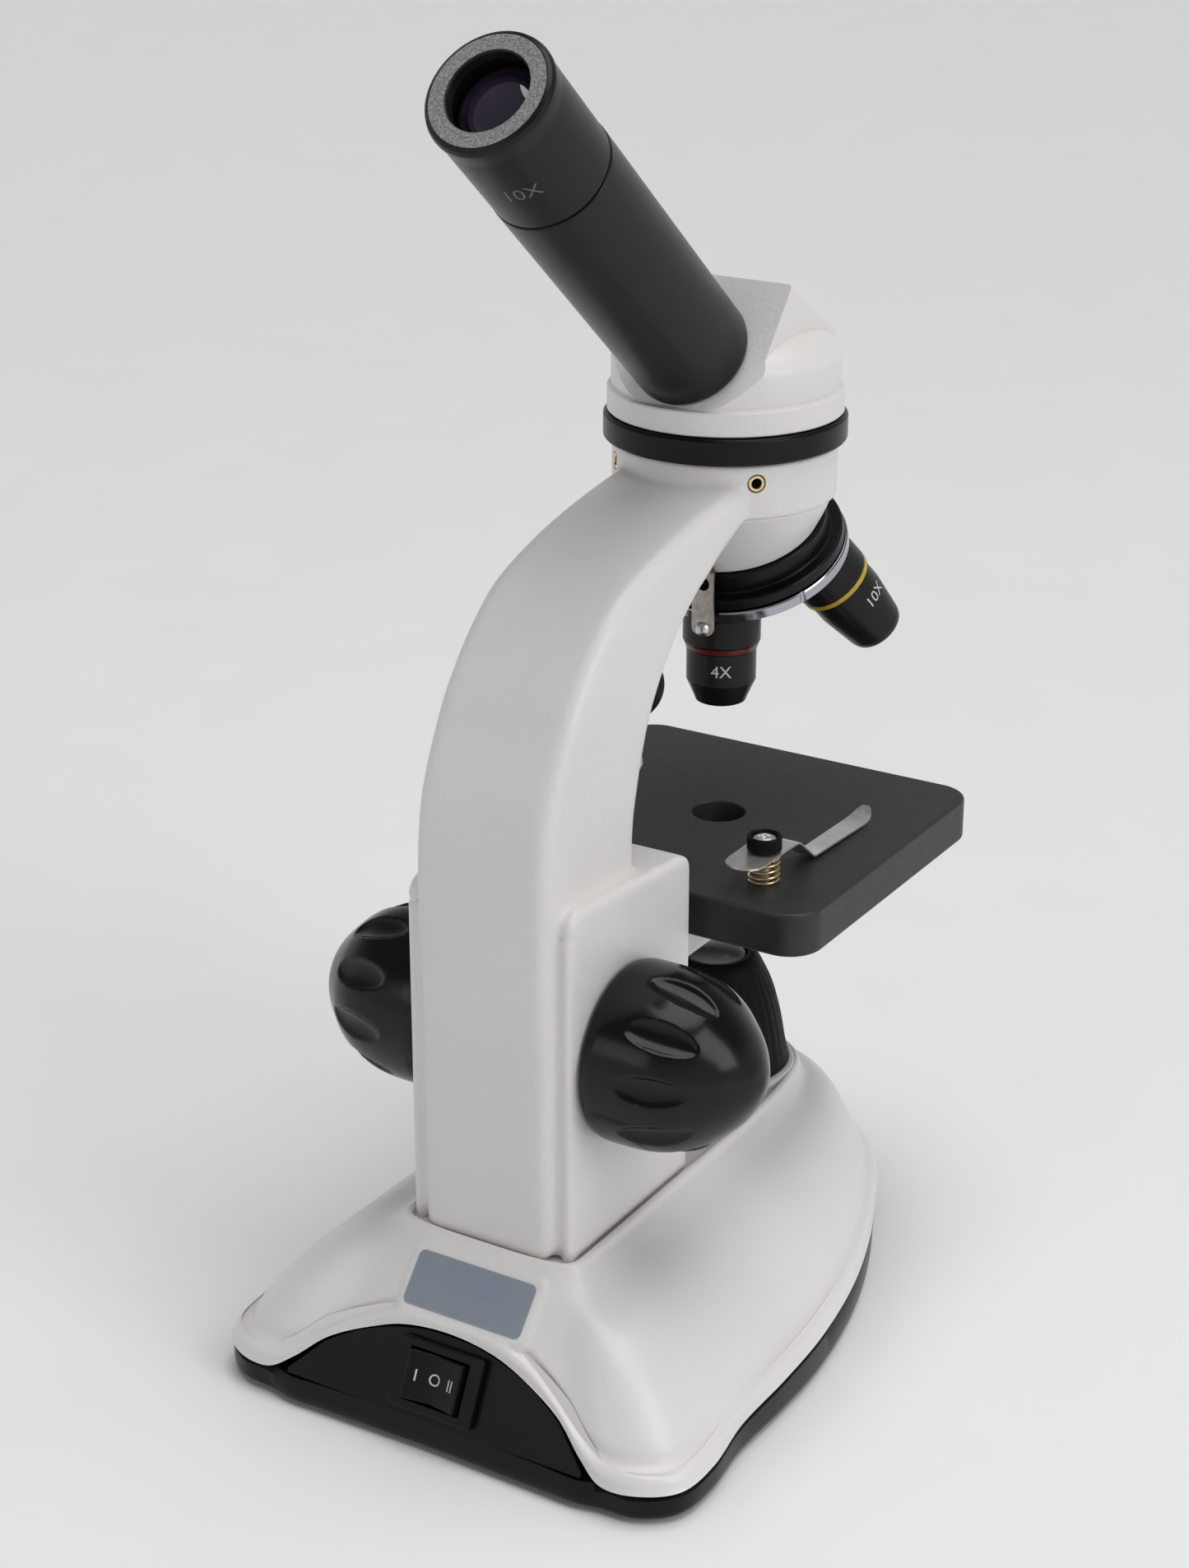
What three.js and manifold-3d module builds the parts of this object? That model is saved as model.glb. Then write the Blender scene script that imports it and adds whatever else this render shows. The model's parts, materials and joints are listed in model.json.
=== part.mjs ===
// A student's compound microscope: base with lamp, curved arm with focusing box, moving stage,
// turning nosepiece with three objectives, and a swivelling monocular head.
// Millimetres, +Z up. X = 0 is the plane of symmetry and +Y is the side of the arm's back.
import * as THREE from "three";
import { mergeVertices } from "three/addons/utils/BufferGeometryUtils.js";
import Module from "manifold-3d";

const wasm = await Module();
wasm.setup();

// ---- Driving dimensions ----
const OPTICAL_Y = -39.8; // the optical axis, from the middle of the object's depth
const FOOT_HEIGHT = 1.2; // every height below is above the tray's underside
const GAP = 0.3; // between pieces that touch

const STAGE_TOP = 101.9;
const STAGE_THICKNESS = 10;
const STAGE_WIDTH = 90;
const STAGE_FRONT = -42.1;
const STAGE_BACK = 43.2;
const STAGE_CORNER = 8;
const STAGE_HOLE_RADIUS = 6;
const POST_X = 27.4; // the screws that hold the slide clips
const POST_Y = 29;

const ARM_HALF_WIDTH = 16;
const BOX_HALF_WIDTH = 20;
const BOX_FRONT = 47.6;
const BOX_BACK = 95.6;
const COLUMN_FOOT = 38; // where the column stands on the base
const SHAFT_Y = 75.3;
const SHAFT_Z = 79.8;
const SHAFT_RADIUS = 3;
const PINION_MODULE = 1;
const PINION_TEETH = 12;
const PINION_RADIUS = (PINION_MODULE * PINION_TEETH) / 2;

const COLLAR_RADIUS = 24.65;
const COLLAR_BOTTOM = 178.2;
const COLLAR_TOP = 190.5;
const RING_RADIUS = 26.6;
const RING_TOP = 196.6;
const HEAD_BOTTOM = 196.9;

const TUBE_PIVOT_Z = 199.4; // where the tube's axis meets the optical axis
const TUBE_TILT = THREE.MathUtils.degToRad(50); // from the vertical
const TUBE_RADIUS = 13;
const TUBE_BORE = 11.9;
const TUBE_FOOT = 19.9;
const TUBE_END = 92.6;
const EYEPIECE_FOOT = 92.9;
const EYEPIECE_END = 120.1;

const APEX_Z = 185.5; // where the turret's axis meets the optical axis
const TURRET_TILT = THREE.MathUtils.degToRad(24.4);
const TURRET_TOP = 17.3; // distances below are from the apex, along the turret's axis
const LIGHT_RADIUS = 4.2;

const LAMP_FOOT = 40;

const TRAY_FLOOR = 2.4;
const PANEL_FOOT_Y = 120.3;
const PANEL_FOOT_Z = 6.8;
const PANEL_LEAN = THREE.MathUtils.degToRad(26.4); // from the vertical

const SEGMENTS = 28;

// ---- Materials ----
const finish = (color, roughness, metalness) =>
  new THREE.MeshStandardMaterial({ color, roughness, metalness });
const whitePaint = finish(0xe9e6e2, 0.42, 0);
const blackPlastic = finish(0x151517, 0.38, 0);
const matteBlack = finish(0x242527, 0.62, 0);
const blackAnodised = finish(0x1b1c1e, 0.33, 0.6);
const chrome = finish(0xc9ccd2, 0.15, 1);
const steel = finish(0xb7b5b0, 0.28, 1);
const brass = finish(0xa88d4c, 0.3, 1);
const glass = finish(0x5a5570, 0.04, 0);
const rubber = finish(0x202020, 0.85, 0);
const labelFoil = finish(0x8d9bb0, 0.4, 0.4);
const greyPlastic = finish(0x8f8f90, 0.6, 0);
const lampWhite = finish(0xf4f1e6, 0.5, 0);

// ---- Geometry helpers ----

// A welded copy of a geometry, without its empty triangles and with its faces pointing out.
function welded(geometry) {
  const bare = geometry.clone();
  bare.deleteAttribute("normal");
  bare.deleteAttribute("uv");
  const merged = mergeVertices(bare, 1e-3);
  const place = merged.attributes.position;
  const at = (i) => new THREE.Vector3().fromBufferAttribute(place, i);
  const kept = [];
  let volume = 0;
  for (let i = 0; i < merged.index.count; i += 3) {
    const [a, b, c] = [0, 1, 2].map((j) => merged.index.getX(i + j));
    if (a === b || b === c || c === a) continue;
    kept.push([a, b, c]);
    volume += at(a).dot(at(b).cross(at(c)));
  }
  merged.setIndex(kept.flatMap(([a, b, c]) => (volume < 0 ? [a, c, b] : [a, b, c])));
  return merged;
}

function solid(geometry) {
  const merged = welded(geometry);
  return new wasm.Manifold(
    new wasm.Mesh({
      numProp: 3,
      vertProperties: new Float32Array(merged.attributes.position.array),
      triVerts: new Uint32Array(merged.index.array),
    }),
  );
}

function geometryOf(body) {
  const made = body.getMesh();
  const place = new Float32Array(made.numVert * 3);
  for (let i = 0; i < made.numVert; i++) {
    const start = i * made.numProp;
    place.set(made.vertProperties.subarray(start, start + 3), i * 3);
  }
  return new THREE.BufferGeometry()
    .setAttribute("position", new THREE.BufferAttribute(place, 3))
    .setIndex(new THREE.BufferAttribute(made.triVerts, 1));
}

// The first solid with the others joined on and the cuts taken out, as a geometry.
function carved(first, { add = [], cut = [] }) {
  let body = solid(first);
  for (const extra of add) body = body.add(solid(extra));
  for (const hole of cut) body = body.subtract(solid(hole));
  return geometryOf(body);
}

// A turned piece about Z from [radius, height] points; a ring's profile closes on itself.
function turned(points, segments = SEGMENTS) {
  const profile = points.map(([r, z]) => new THREE.Vector2(r, z));
  return welded(new THREE.LatheGeometry(profile, segments).rotateX(Math.PI / 2));
}

const pin = (radius, low, high, segments = SEGMENTS) =>
  turned([[0, low], [radius, low], [radius, high], [0, high]], segments);

function ring(outer, inner, low, high, segments = SEGMENTS) {
  const corners = [[inner, low], [outer, low], [outer, high], [inner, high], [inner, low]];
  return turned(corners, segments);
}

// A box from its lowest to its highest corner.
function block([x0, y0, z0], [x1, y1, z1]) {
  return new THREE.BoxGeometry(x1 - x0, y1 - y0, z1 - z0).translate(
    (x0 + x1) / 2,
    (y0 + y1) / 2,
    (z0 + z1) / 2,
  );
}

function outline(points) {
  return new THREE.Shape(points.map(([x, y]) => new THREE.Vector2(x, y)));
}

function roundedRectangle(x0, y0, x1, y1, radius) {
  const shape = new THREE.Shape();
  shape.absarc(x1 - radius, y1 - radius, radius, 0, Math.PI / 2);
  shape.absarc(x0 + radius, y1 - radius, radius, Math.PI / 2, Math.PI);
  shape.absarc(x0 + radius, y0 + radius, radius, Math.PI, 1.5 * Math.PI);
  shape.absarc(x1 - radius, y0 + radius, radius, 1.5 * Math.PI, 2 * Math.PI);
  return shape;
}

// An outline in X and Y pushed up along Z, with an optional bevel inside its own size.
function raised(shape, low, high, bevel = 0, curveSegments = 4) {
  const settings = {
    depth: high - low - 2 * bevel,
    bevelEnabled: bevel > 0,
    bevelSize: bevel,
    bevelOffset: -bevel,
    bevelThickness: bevel,
    bevelSegments: 2,
    curveSegments,
  };
  return welded(new THREE.ExtrudeGeometry(shape, settings).translate(0, 0, low + bevel));
}

// An outline in Y and Z, given a thickness from -half to +half along X.
function sideways(shape, half, bevel = 0, curveSegments = 4) {
  const made = raised(shape, -half, half, bevel, curveSegments);
  return made.rotateX(Math.PI / 2).rotateZ(Math.PI / 2);
}

// A closed skin through rings of equal point counts, with a fan at each end.
function loft(rings, firstCentre, lastCentre) {
  const count = rings[0].length;
  const place = [...rings.flat(), firstCentre, lastCentre];
  const index = [];
  for (let r = 0; r + 1 < rings.length; r++) {
    for (let i = 0; i < count; i++) {
      const a = r * count + i;
      const b = r * count + ((i + 1) % count);
      index.push(a, b, a + count, b, b + count, a + count);
    }
  }
  const top = (rings.length - 1) * count;
  for (let i = 0; i < count; i++) {
    const next = (i + 1) % count;
    index.push(next, i, rings.length * count);
    index.push(top + i, top + next, rings.length * count + 1);
  }
  return welded(new THREE.BufferGeometry().setFromPoints(place).setIndex(index));
}

const moved = (geometry, x, y, z) => geometry.clone().translate(x, y, z);
const alongX = (geometry) => geometry.clone().rotateY(Math.PI / 2);

// ---- The scene ----
const microscope = new THREE.Group();
microscope.position.set(0, OPTICAL_Y, FOOT_HEIGHT);

function add(name, geometry, material, group = microscope) {
  const mesh = new THREE.Mesh(geometry, material);
  mesh.name = name;
  group.add(mesh);
  return mesh;
}

function frame(parent, y, z, turnX) {
  const group = new THREE.Group();
  group.position.set(0, y, z);
  group.rotation.x = turnX;
  parent.add(group);
  group.updateMatrix();
  return group;
}

// The tube's own frame: +Z runs up along its axis.
const tubeFrame = frame(microscope, 0, TUBE_PIVOT_Z, -TUBE_TILT);
// The turret's own frame: +Z runs down along its axis from the apex.
const turretFrame = frame(microscope, 0, APEX_Z, Math.PI - TURRET_TILT);
// The rear panel's own frame: +Y runs up the panel and +Z goes into the base.
const panelFrame = frame(microscope, PANEL_FOOT_Y, PANEL_FOOT_Z, Math.PI / 2 + PANEL_LEAN);

// ---- Base ----

// Half outlines from the back's middle to the nose: the shell's rim, then the foot of the
// raised platform that it rises to. "fall" shapes the slope between them.
const RIM = [
  [0, 112.2, 23.3],
  [11, 112.7, 22.3],
  [20, 114.1, 19.5],
  [29, 116.2, 15.2],
  [36, 119, 9.6],
  [42, 120.9, 6.2],
  [50, 120, 6.2],
  [57, 114, 6.2],
  [58.4, 103, 6.6],
  [56.8, 88, 7.4],
  [57.2, 70, 8.2],
  [56.6, 52, 8.8],
  [53.5, 32, 9],
  [48.5, 14, 9],
  [41.5, -4, 9],
  [31, -25, 9],
  [16, -37.5, 9],
  [0, -41.2, 9],
];
const PLATFORM_Z = 37.7;
const PLATFORM = [
  [0, 101],
  [6.5, 101],
  [12, 100.8],
  [16.5, 100.3],
  [19.8, 99.3],
  [21.6, 97.8],
  [22.5, 95.6],
  [22.7, 92.6],
  [22.7, 85],
  [22.7, 75],
  [22.7, 63],
  [22.7, 50],
  [22.6, 34],
  [22.2, 18],
  [20.8, 2],
  [17, -11],
  [9.5, -17.6],
  [0, -20],
];
// The slope's roundness: 1 is straight, and more is a fuller dome near the rim.
const FALL = [1, 1, 1, 1.1, 1.4, 1.8, 1.9, 1.9, 2, 2.1, 2.2, 2.2, 2.3, 2.5, 2.7, 3, 3, 3];
const TRAY_BACK = 121;
const TRAY_RIM = RIM.map(([x, y, z], i) =>
  i < 5 ? [x, TRAY_BACK + i * 0.15, 5.4] : [x * 1.006, y + (y > 0 ? 0.6 : -0.7), z - 0.4],
);

// A closed, left-right even loop through a half outline.
function loop(half, count) {
  const points = half.map(([x, y, z]) => new THREE.Vector3(x, y, z));
  const mirrored = points
    .slice(1, -1)
    .reverse()
    .map((p) => new THREE.Vector3(-p.x, p.y, p.z));
  const curve = new THREE.CatmullRomCurve3([...points, ...mirrored], true, "catmullrom", 0.5);
  return Array.from({ length: count }, (_, i) => curve.getPoint(i / count));
}

// Moves each point of a loop inwards by a distance, in plan.
function inset(points, distance, z) {
  return points.map((p, i) => {
    const next = points[(i + 1) % points.length];
    const last = points[(i + points.length - 1) % points.length];
    const along = next.clone().sub(last).setZ(0).normalize();
    const inward = new THREE.Vector3(along.y, -along.x, 0);
    return p.clone().addScaledVector(inward, distance).setZ(z ?? p.z);
  });
}

function slope(rim, platform, fall, share) {
  return rim.map((low, i) => {
    const high = platform[i];
    const dome = 0.87 * (1 - (1 - share) ** fall[i]) + 0.13 * share ** 10;
    const straight = THREE.MathUtils.clamp((fall[i] - 1) / 0.8, 0, 1);
    const rise = THREE.MathUtils.lerp(share, dome, straight);
    const p = low.clone().lerp(high, share);
    return p.setZ(low.z + (high.z - low.z) * rise);
  });
}

const LOOP_COUNT = 56;
const WALL = 2.6;
const SHARES = [0, 0.05, 0.13, 0.25, 0.4, 0.6, 0.8, 0.92, 1];
const INNER_SHARES = [0, 0.2, 0.5, 0.8, 1];

function baseShell() {
  const fall = loop(FALL.map((f) => [0, f, 0]), LOOP_COUNT).map((p) => p.y);
  const rim = loop(RIM, LOOP_COUNT);
  const platform = loop(PLATFORM.map(([x, y]) => [x, y, PLATFORM_Z]), LOOP_COUNT);
  const outer = SHARES.map((share) => slope(rim, platform, fall, share));
  const under = inset(rim, WALL).map((p) => p.setZ(p.z - 4));
  const ceiling = inset(platform, WALL, PLATFORM_Z - WALL);
  const inner = INNER_SHARES.map((share) => slope(under, ceiling, fall, share));
  const skin = loft(outer, new THREE.Vector3(0, 50, 26), new THREE.Vector3(0, 40, PLATFORM_Z));
  const hollow = loft(
    inner,
    new THREE.Vector3(0, 50, -6),
    new THREE.Vector3(0, 40, PLATFORM_Z - WALL),
  );
  const boss = turned([[0, 30], [21, 30], [19.2, PLATFORM_Z], [17.9, LAMP_FOOT - GAP], [0, LAMP_FOOT - GAP]]);
  const body = solid(skin)
    .subtract(solid(hollow))
    .add(solid(boss))
    .subtract(solid(pin(14, 20, 50)));
  return geometryOf(
    BOLT_PLACES.reduce(
      (left, y) => left.subtract(solid(moved(pin(3.3, 20, 50, 20), 0, y, 0))),
      body,
    ),
  );
}

const BOLT_PLACES = [90.5, 53];
const BOLT_NAMES = ["column_bolt_rear", "column_bolt_front"];
const BATTERY_WELL = { halfWidth: 26, front: 36, back: 92 };

function trayGeometry() {
  const rim = loop(TRAY_RIM, LOOP_COUNT);
  const rings = [
    inset(rim, 0.9, 0),
    inset(rim, 0, 0.9),
    rim,
    inset(rim, WALL),
    inset(rim, WALL, TRAY_FLOOR),
  ];
  const dish = loft(rings, new THREE.Vector3(0, 50, 0), new THREE.Vector3(0, 50, TRAY_FLOOR));
  const { halfWidth, front, back } = BATTERY_WELL;
  const well = raised(roundedRectangle(-halfWidth, front, halfWidth, back, 4), -1, 4);
  return carved(dish, { cut: [well] });
}

function addBase() {
  add("base_shell", baseShell(), whitePaint);
  add("base_tray", trayGeometry(), blackPlastic);
  const { halfWidth, front, back } = BATTERY_WELL;
  const lid = roundedRectangle(
    -halfWidth + GAP,
    front + GAP,
    halfWidth - GAP,
    back - GAP,
    4 - GAP,
  );
  add("battery_cover", raised(lid, 0.2, 2), blackPlastic);
  const cells = outline([[-23, -7], [23, -7], [23, 7], [-23, 7]]);
  const pack = raised(cells, 38, 90, 1).rotateX(Math.PI / 2);
  add("battery_pack", moved(pack.rotateZ(Math.PI), 0, 0, 10.2), greyPlastic);
  const feet = { front_left: [27, -20], front_right: [-27, -20], rear_left: [45, 108] };
  feet.rear_right = [-45, 108];
  for (const [place, [x, y]] of Object.entries(feet)) {
    add("foot_" + place, moved(pin(5.5, -FOOT_HEIGHT, -GAP, 16), x, y, 0), rubber);
  }
  BOLT_PLACES.forEach((y, i) => {
    const bolt = turned([[0, 31], [5.5, 31], [5.5, 34.6], [3, 34.6], [3, 47.4], [0, 47.4]], 14);
    add(BOLT_NAMES[i], moved(bolt, 0, y, 0), steel);
  });
}

// ---- Rear panel, switch and label ----
const ARCH = [
  [37, 0.4],
  [34.6, 2.9],
  [31.6, 6.1],
  [28.6, 9],
  [21.4, 13.2],
  [14, 16],
  [6.5, 17.6],
  [0, 17.9],
];
const SWITCH = { halfWidth: 10.5, low: 0.9, high: 15.9, middle: 8.4 };

function addPanel() {
  const left = ARCH.slice(0, -1).reverse().map(([x, v]) => [-x, v]);
  const arch = new THREE.Shape();
  arch.moveTo(-37, 0);
  arch.lineTo(37, 0);
  arch.splineThru([...ARCH, ...left].map(([x, v]) => new THREE.Vector2(x, v)));
  const opening = block([-9.6, SWITCH.middle - 6.6, -1], [9.6, SWITCH.middle + 6.6, 3]);
  const panel = carved(raised(arch, 0.1, 2, 0, 2), { cut: [opening] });
  add("rear_panel", panel, blackPlastic, panelFrame);

  const { halfWidth, low, high, middle } = SWITCH;
  const flange = raised(roundedRectangle(-halfWidth, low, halfWidth, high, 1), -1.9, -0.2, 0.4);
  const barrel = block([-9.2, middle - 6.2, -0.9], [9.2, middle + 6.2, 9]);
  const well = block([-7.4, middle - 5.7, -4], [7.4, middle + 5.7, 8]);
  const bezel = carved(flange, { add: [barrel], cut: [well] });
  add("switch_bezel", bezel, blackPlastic, panelFrame);

  // The rocker is a shallow V, seen from above.
  const vee = outline([[-6.7, -3], [-6.7, 3.4], [0, 1.6], [6.7, 3.4], [6.7, -3]]);
  const rocker = raised(vee, -5.2, 5.2, 0.3).rotateX(-Math.PI / 2);
  add("switch_rocker", moved(rocker, 0, middle, 0), blackPlastic, panelFrame);

  const labelFrame = frame(microscope, 107.3, 31.1, Math.PI / 2 + THREE.MathUtils.degToRad(41.2));
  const card = raised(roundedRectangle(-14.6, -5.9, 14.6, 5.9, 1.4), -0.25, 0.05);
  add("blank_label", moved(card, -1.8, 0, 0), labelFoil, labelFrame);
}

// ---- Lamp in the base ----
function addLamp() {
  const dome = [
    [14.2, 40],
    [17.6, 40],
    [17.1, 42.2],
    [16.5, 44.8],
    [15.8, 49.1],
    [14.9, 53.3],
    [13.5, 58.2],
    [11.7, 62.4],
    [10.2, 65.3],
    [9.2, 66.4],
    [7.4, 66.6],
    [7.4, 64.6],
    [8.4, 64.4],
    [10.9, 58],
    [12.6, 50],
    [13.6, 44],
    [14.2, 40],
  ];
  add("lamp_housing", turned(dome), matteBlack);
  const lens = [[0, 62.8], [7.1, 62.8], [7.1, 66], [5.4, 67.2], [3, 67.9], [0, 68.2]];
  add("lamp_lens", turned(lens, 20), glass);
  const emitter = [[0, 37], [10, 37], [10, 38.6], [3, 38.8], [3, 41], [1.6, 42.6], [0, 43]];
  add("lamp_led", turned(emitter, 20), lampWhite);
}

// ---- Arm with the focusing box ----
const ARM_INSIDE = [
  [63.5, 122],
  [62.8, 127.5],
  [60.3, 137],
  [57, 146],
  [51.8, 154.2],
  [45.5, 161.4],
  [38.8, 166.6],
  [33.6, 169.6],
  [28.5, 172.7],
  [21.4, 176.1],
];
const ARM_OUTSIDE = [
  [20, 186.2],
  [37.5, 183.6],
  [53.5, 180],
  [68.6, 174.6],
  [78.3, 167.2],
  [86, 158.6],
  [91.6, 149.6],
  [96.6, 138.4],
  [98.7, 128],
  [99.3, 114],
];
const SLOT = { halfWidth: 6.9, low: 60.4, high: 107 };

// The cup under the collar, from a level ring to the tilted face that carries the turret.
function cup(spread) {
  const count = 40;
  const tilt = new THREE.Matrix4().makeRotationX(Math.PI - TURRET_TILT);
  tilt.setPosition(0, 0, APEX_Z);
  const middleOfFace = new THREE.Vector3(0, 0, 17 + spread).applyMatrix4(tilt);
  const top = [];
  const face = [];
  for (let i = 0; i < count; i++) {
    const angle = (2 * Math.PI * i) / count;
    const [c, s] = [Math.cos(angle), Math.sin(angle)];
    const radius = 23.4 + spread;
    top.push(new THREE.Vector3(radius * c, radius * s, COLLAR_BOTTOM - GAP + spread));
    const rim = new THREE.Vector3((18.5 + spread) * c, -(18.5 + spread) * s, 17 + spread);
    face.push(rim.applyMatrix4(tilt));
  }
  const topCentre = new THREE.Vector3(0, 0, COLLAR_BOTTOM - GAP + spread);
  return loft([face, top], middleOfFace, topCentre);
}

function armGeometry() {
  const shape = new THREE.Shape();
  shape.moveTo(63.5, COLUMN_FOOT);
  shape.lineTo(...ARM_INSIDE[0]);
  shape.splineThru(ARM_INSIDE.slice(1).map(([y, z]) => new THREE.Vector2(y, z)));
  shape.lineTo(17, 178.5);
  shape.lineTo(14, 178.5);
  shape.lineTo(14, 186.2);
  shape.lineTo(...ARM_OUTSIDE[0]);
  shape.splineThru(ARM_OUTSIDE.slice(1).map(([y, z]) => new THREE.Vector2(y, z)));
  shape.lineTo(98.7, 80);
  shape.lineTo(98.4, COLUMN_FOOT);
  const bow = sideways(shape, ARM_HALF_WIDTH, 2, 2);
  const boxSide = outline([
    [BOX_FRONT, COLUMN_FOOT],
    [BOX_BACK, COLUMN_FOOT],
    [BOX_BACK, 113.2],
    [BOX_BACK - 1.4, 116.2],
    [BOX_BACK - 4.5, 117.4],
    [BOX_FRONT, 113.6],
  ]);
  const box = sideways(boxSide, BOX_HALF_WIDTH, 0.8);
  const collar = pin(COLLAR_RADIUS, COLLAR_BOTTOM, COLLAR_TOP, 40);
  const throughX = (radius, y, z) => moved(alongX(pin(radius, -30, 30, 20)), 0, y, z);
  const screws = SCREW_ANGLES.map((angle) => screwHole(angle, 2.1));
  return carved(bow, {
    add: [box, collar],
    cut: [
      cup(0.35),
      pin(13.5, COLLAR_BOTTOM - 10, COLLAR_TOP + 5, 40),
      block([-13.4, 57, 48], [13.4, 86, 107.4]),
      block([-9.4, BOX_FRONT + 3.4, 48], [9.4, 60, 107.4]),
      block([-SLOT.halfWidth, 40, SLOT.low], [SLOT.halfWidth, 54, SLOT.high]),
      throughX(5.3, SHAFT_Y, SHAFT_Z),
      ...BOLT_PLACES.map((y) => moved(pin(3.3, 30, 48.4, 20), 0, y, 0)),
      block([-5, 60, 30], [5, 78, 60]),
      ...screws,
    ],
  });
}

const SCREW_ANGLES = [45, 135, 270];
const SCREW_Z = 186.5;

function screwHole(angle, radius) {
  const hole = moved(alongX(pin(radius, 10, 30, 16)), 0, 0, SCREW_Z);
  return hole.rotateZ(THREE.MathUtils.degToRad(angle));
}

function addArm() {
  add("arm", armGeometry(), whitePaint);
  SCREW_ANGLES.forEach((angle, i) => {
    const sleeve = alongX(ring(1.8, 1.1, 16, COLLAR_RADIUS - 0.1, 10));
    const turn = THREE.MathUtils.degToRad(angle);
    const placed = moved(sleeve, 0, 0, SCREW_Z).rotateZ(turn);
    add("collar_insert_" + (i + 1), placed, brass);
  });
  const belt = ring(RING_RADIUS, 14, COLLAR_TOP + GAP, RING_TOP, 40);
  add("head_ring", belt, blackPlastic);
}

// ---- Upper lamp, on the arm's inner face ----
function addUpperLamp() {
  const lampFrame = frame(microscope, 59, 156, Math.PI / 2 + THREE.MathUtils.degToRad(30));
  const pod = [
    [0, -6],
    [6.4, -6],
    [6.4, 4],
    [7.9, 6.5],
    [8.2, 12],
    [8.2, 22],
    [7.4, 24.4],
    [5.2, 25.2],
    [5.2, 21],
    [0, 21],
  ];
  // The pod's foot is shaped to the arm's inner face.
  const face = ARM_INSIDE.slice(0, 8).map(([y, z]) => [y - 0.6, z - 0.1]);
  const behind = sideways(outline([[90, 122], ...face, [90, 169]]), 12);
  const toLamp = lampFrame.matrix.clone().invert();
  const podBody = carved(turned(pod, 32), { cut: [behind.applyMatrix4(toLamp)] });
  add("upper_lamp", podBody, matteBlack, lampFrame);
  const lens = [[0, 21.4], [4.8, 21.4], [4.8, 24], [3, 25], [0, 25.6]];
  add("upper_lamp_lens", turned(lens, 24), glass, lampFrame);
}

// ---- Head, tube and eyepiece ----
function addHead() {
  const body = turned(
    [
      [0, HEAD_BOTTOM],
      [25.8, HEAD_BOTTOM],
      [25.8, 201.8],
      [25.4, 202.3],
      [24.9, 202.4],
      [24.9, 209.5],
      [23, 211.8],
      [20.5, 213.6],
      [17.3, 215],
      [9, 216.4],
      [0, 216.8],
    ],
    40,
  );
  const cheek = outline([[24, 203], [24, 204], [3.6, 226.4], [-18.2, 212.9], [-18.2, 203]]);
  const wedge = sideways(cheek, 17.3, 0.5);
  const seatSide = block([-40, -40, 19.6], [40, 60, 80]).applyMatrix4(tubeFrame.matrix);
  const tubeBore = pin(10, 4, 40, 32).applyMatrix4(tubeFrame.matrix);
  const head = carved(body, { add: [wedge], cut: [seatSide, tubeBore, pin(11, 190, 212, 32)] });
  add("head_housing", head, whitePaint);
  const prismSide = outline([[-7, 200], [7, 200], [7, 203], [-7, 211]]);
  add("prism", sideways(prismSide, 6), glass);

  const tube = [
    [TUBE_BORE, TUBE_FOOT],
    [TUBE_RADIUS - 0.8, TUBE_FOOT],
    [TUBE_RADIUS - 0.2, TUBE_FOOT + 0.4],
    [TUBE_RADIUS, TUBE_FOOT + 1.2],
    [TUBE_RADIUS, TUBE_END],
    [TUBE_BORE, TUBE_END],
    [TUBE_BORE, TUBE_FOOT],
  ];
  add("eyepiece_tube", turned(tube, 32), blackAnodised, tubeFrame);
}

function addEyepiece() {
  const cap = [
    [9.6, 68],
    [11.6, 68],
    [11.6, EYEPIECE_FOOT],
    [12.85, EYEPIECE_FOOT],
    [12.9, 115],
    [13.2, 117.4],
    [13.25, 118.7],
    [12.9, 119.7],
    [12.2, EYEPIECE_END],
    [8.6, EYEPIECE_END],
    [8.4, 117.2],
    [9.6, 116.8],
    [9.6, 68],
  ];
  add("eyepiece", turned(cap, 32), blackAnodised, tubeFrame);
  const eyeLens = [[0, 110.5], [9.2, 110.5], [9.2, 115], [6, 116], [3, 116.5], [0, 116.7]];
  add("eye_lens", turned(eyeLens, 24), glass, tubeFrame);
}

// ---- Nosepiece, turret and objectives ----
const OBJECTIVE_TURNS = { objective_4x: -90, objective_10x: 150, objective_40x: 30 };

function objectiveFrame(turn) {
  const around = new THREE.Group();
  around.rotation.z = THREE.MathUtils.degToRad(turn);
  const tilted = new THREE.Group();
  tilted.rotation.y = TURRET_TILT;
  around.add(tilted);
  turretFrame.add(around);
  around.updateMatrix();
  tilted.updateMatrix();
  return { group: tilted, matrix: around.matrix.clone().multiply(tilted.matrix) };
}

const objectiveFrames = Object.fromEntries(
  Object.entries(OBJECTIVE_TURNS).map(([name, turn]) => [name, objectiveFrame(turn)]),
);

function addNosepiece() {
  const sight = pin(LIGHT_RADIUS, 150, 190, 24);
  const pivotHole = pin(2.3, 8, 20, 20).applyMatrix4(turretFrame.matrix);
  const mount = carved(cup(0), { cut: [sight, pivotHole] });
  add("nosepiece_mount", mount, whitePaint);
  const screw = [
    [0, 9],
    [2, 9],
    [2, 36.5],
    [4, 36.5],
    [4, 37.6],
    [2.6, 38.6],
    [0, 38.8],
  ];
  add("turret_screw", turned(screw, 16), steel, turretFrame);
}

function turretGeometry() {
  const profile = [
    [2.3, TURRET_TOP],
    [19.57, TURRET_TOP],
    [19.57, 22.2],
    [22.3, 22.4],
    [22.5, 24.8],
    [20, 24.8],
    [20, 29],
    [5, 35.8],
    [5, 36.2],
    [2.3, 36.2],
    [2.3, TURRET_TOP],
  ];
  const cut = Object.values(objectiveFrames).flatMap(({ matrix }) => [
    pin(LIGHT_RADIUS, 12, 45, 14).applyMatrix4(matrix),
    pin(6, 30.4, 45, 18).applyMatrix4(matrix),
  ]);
  return carved(turned(profile, 36), { cut });
}

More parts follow.
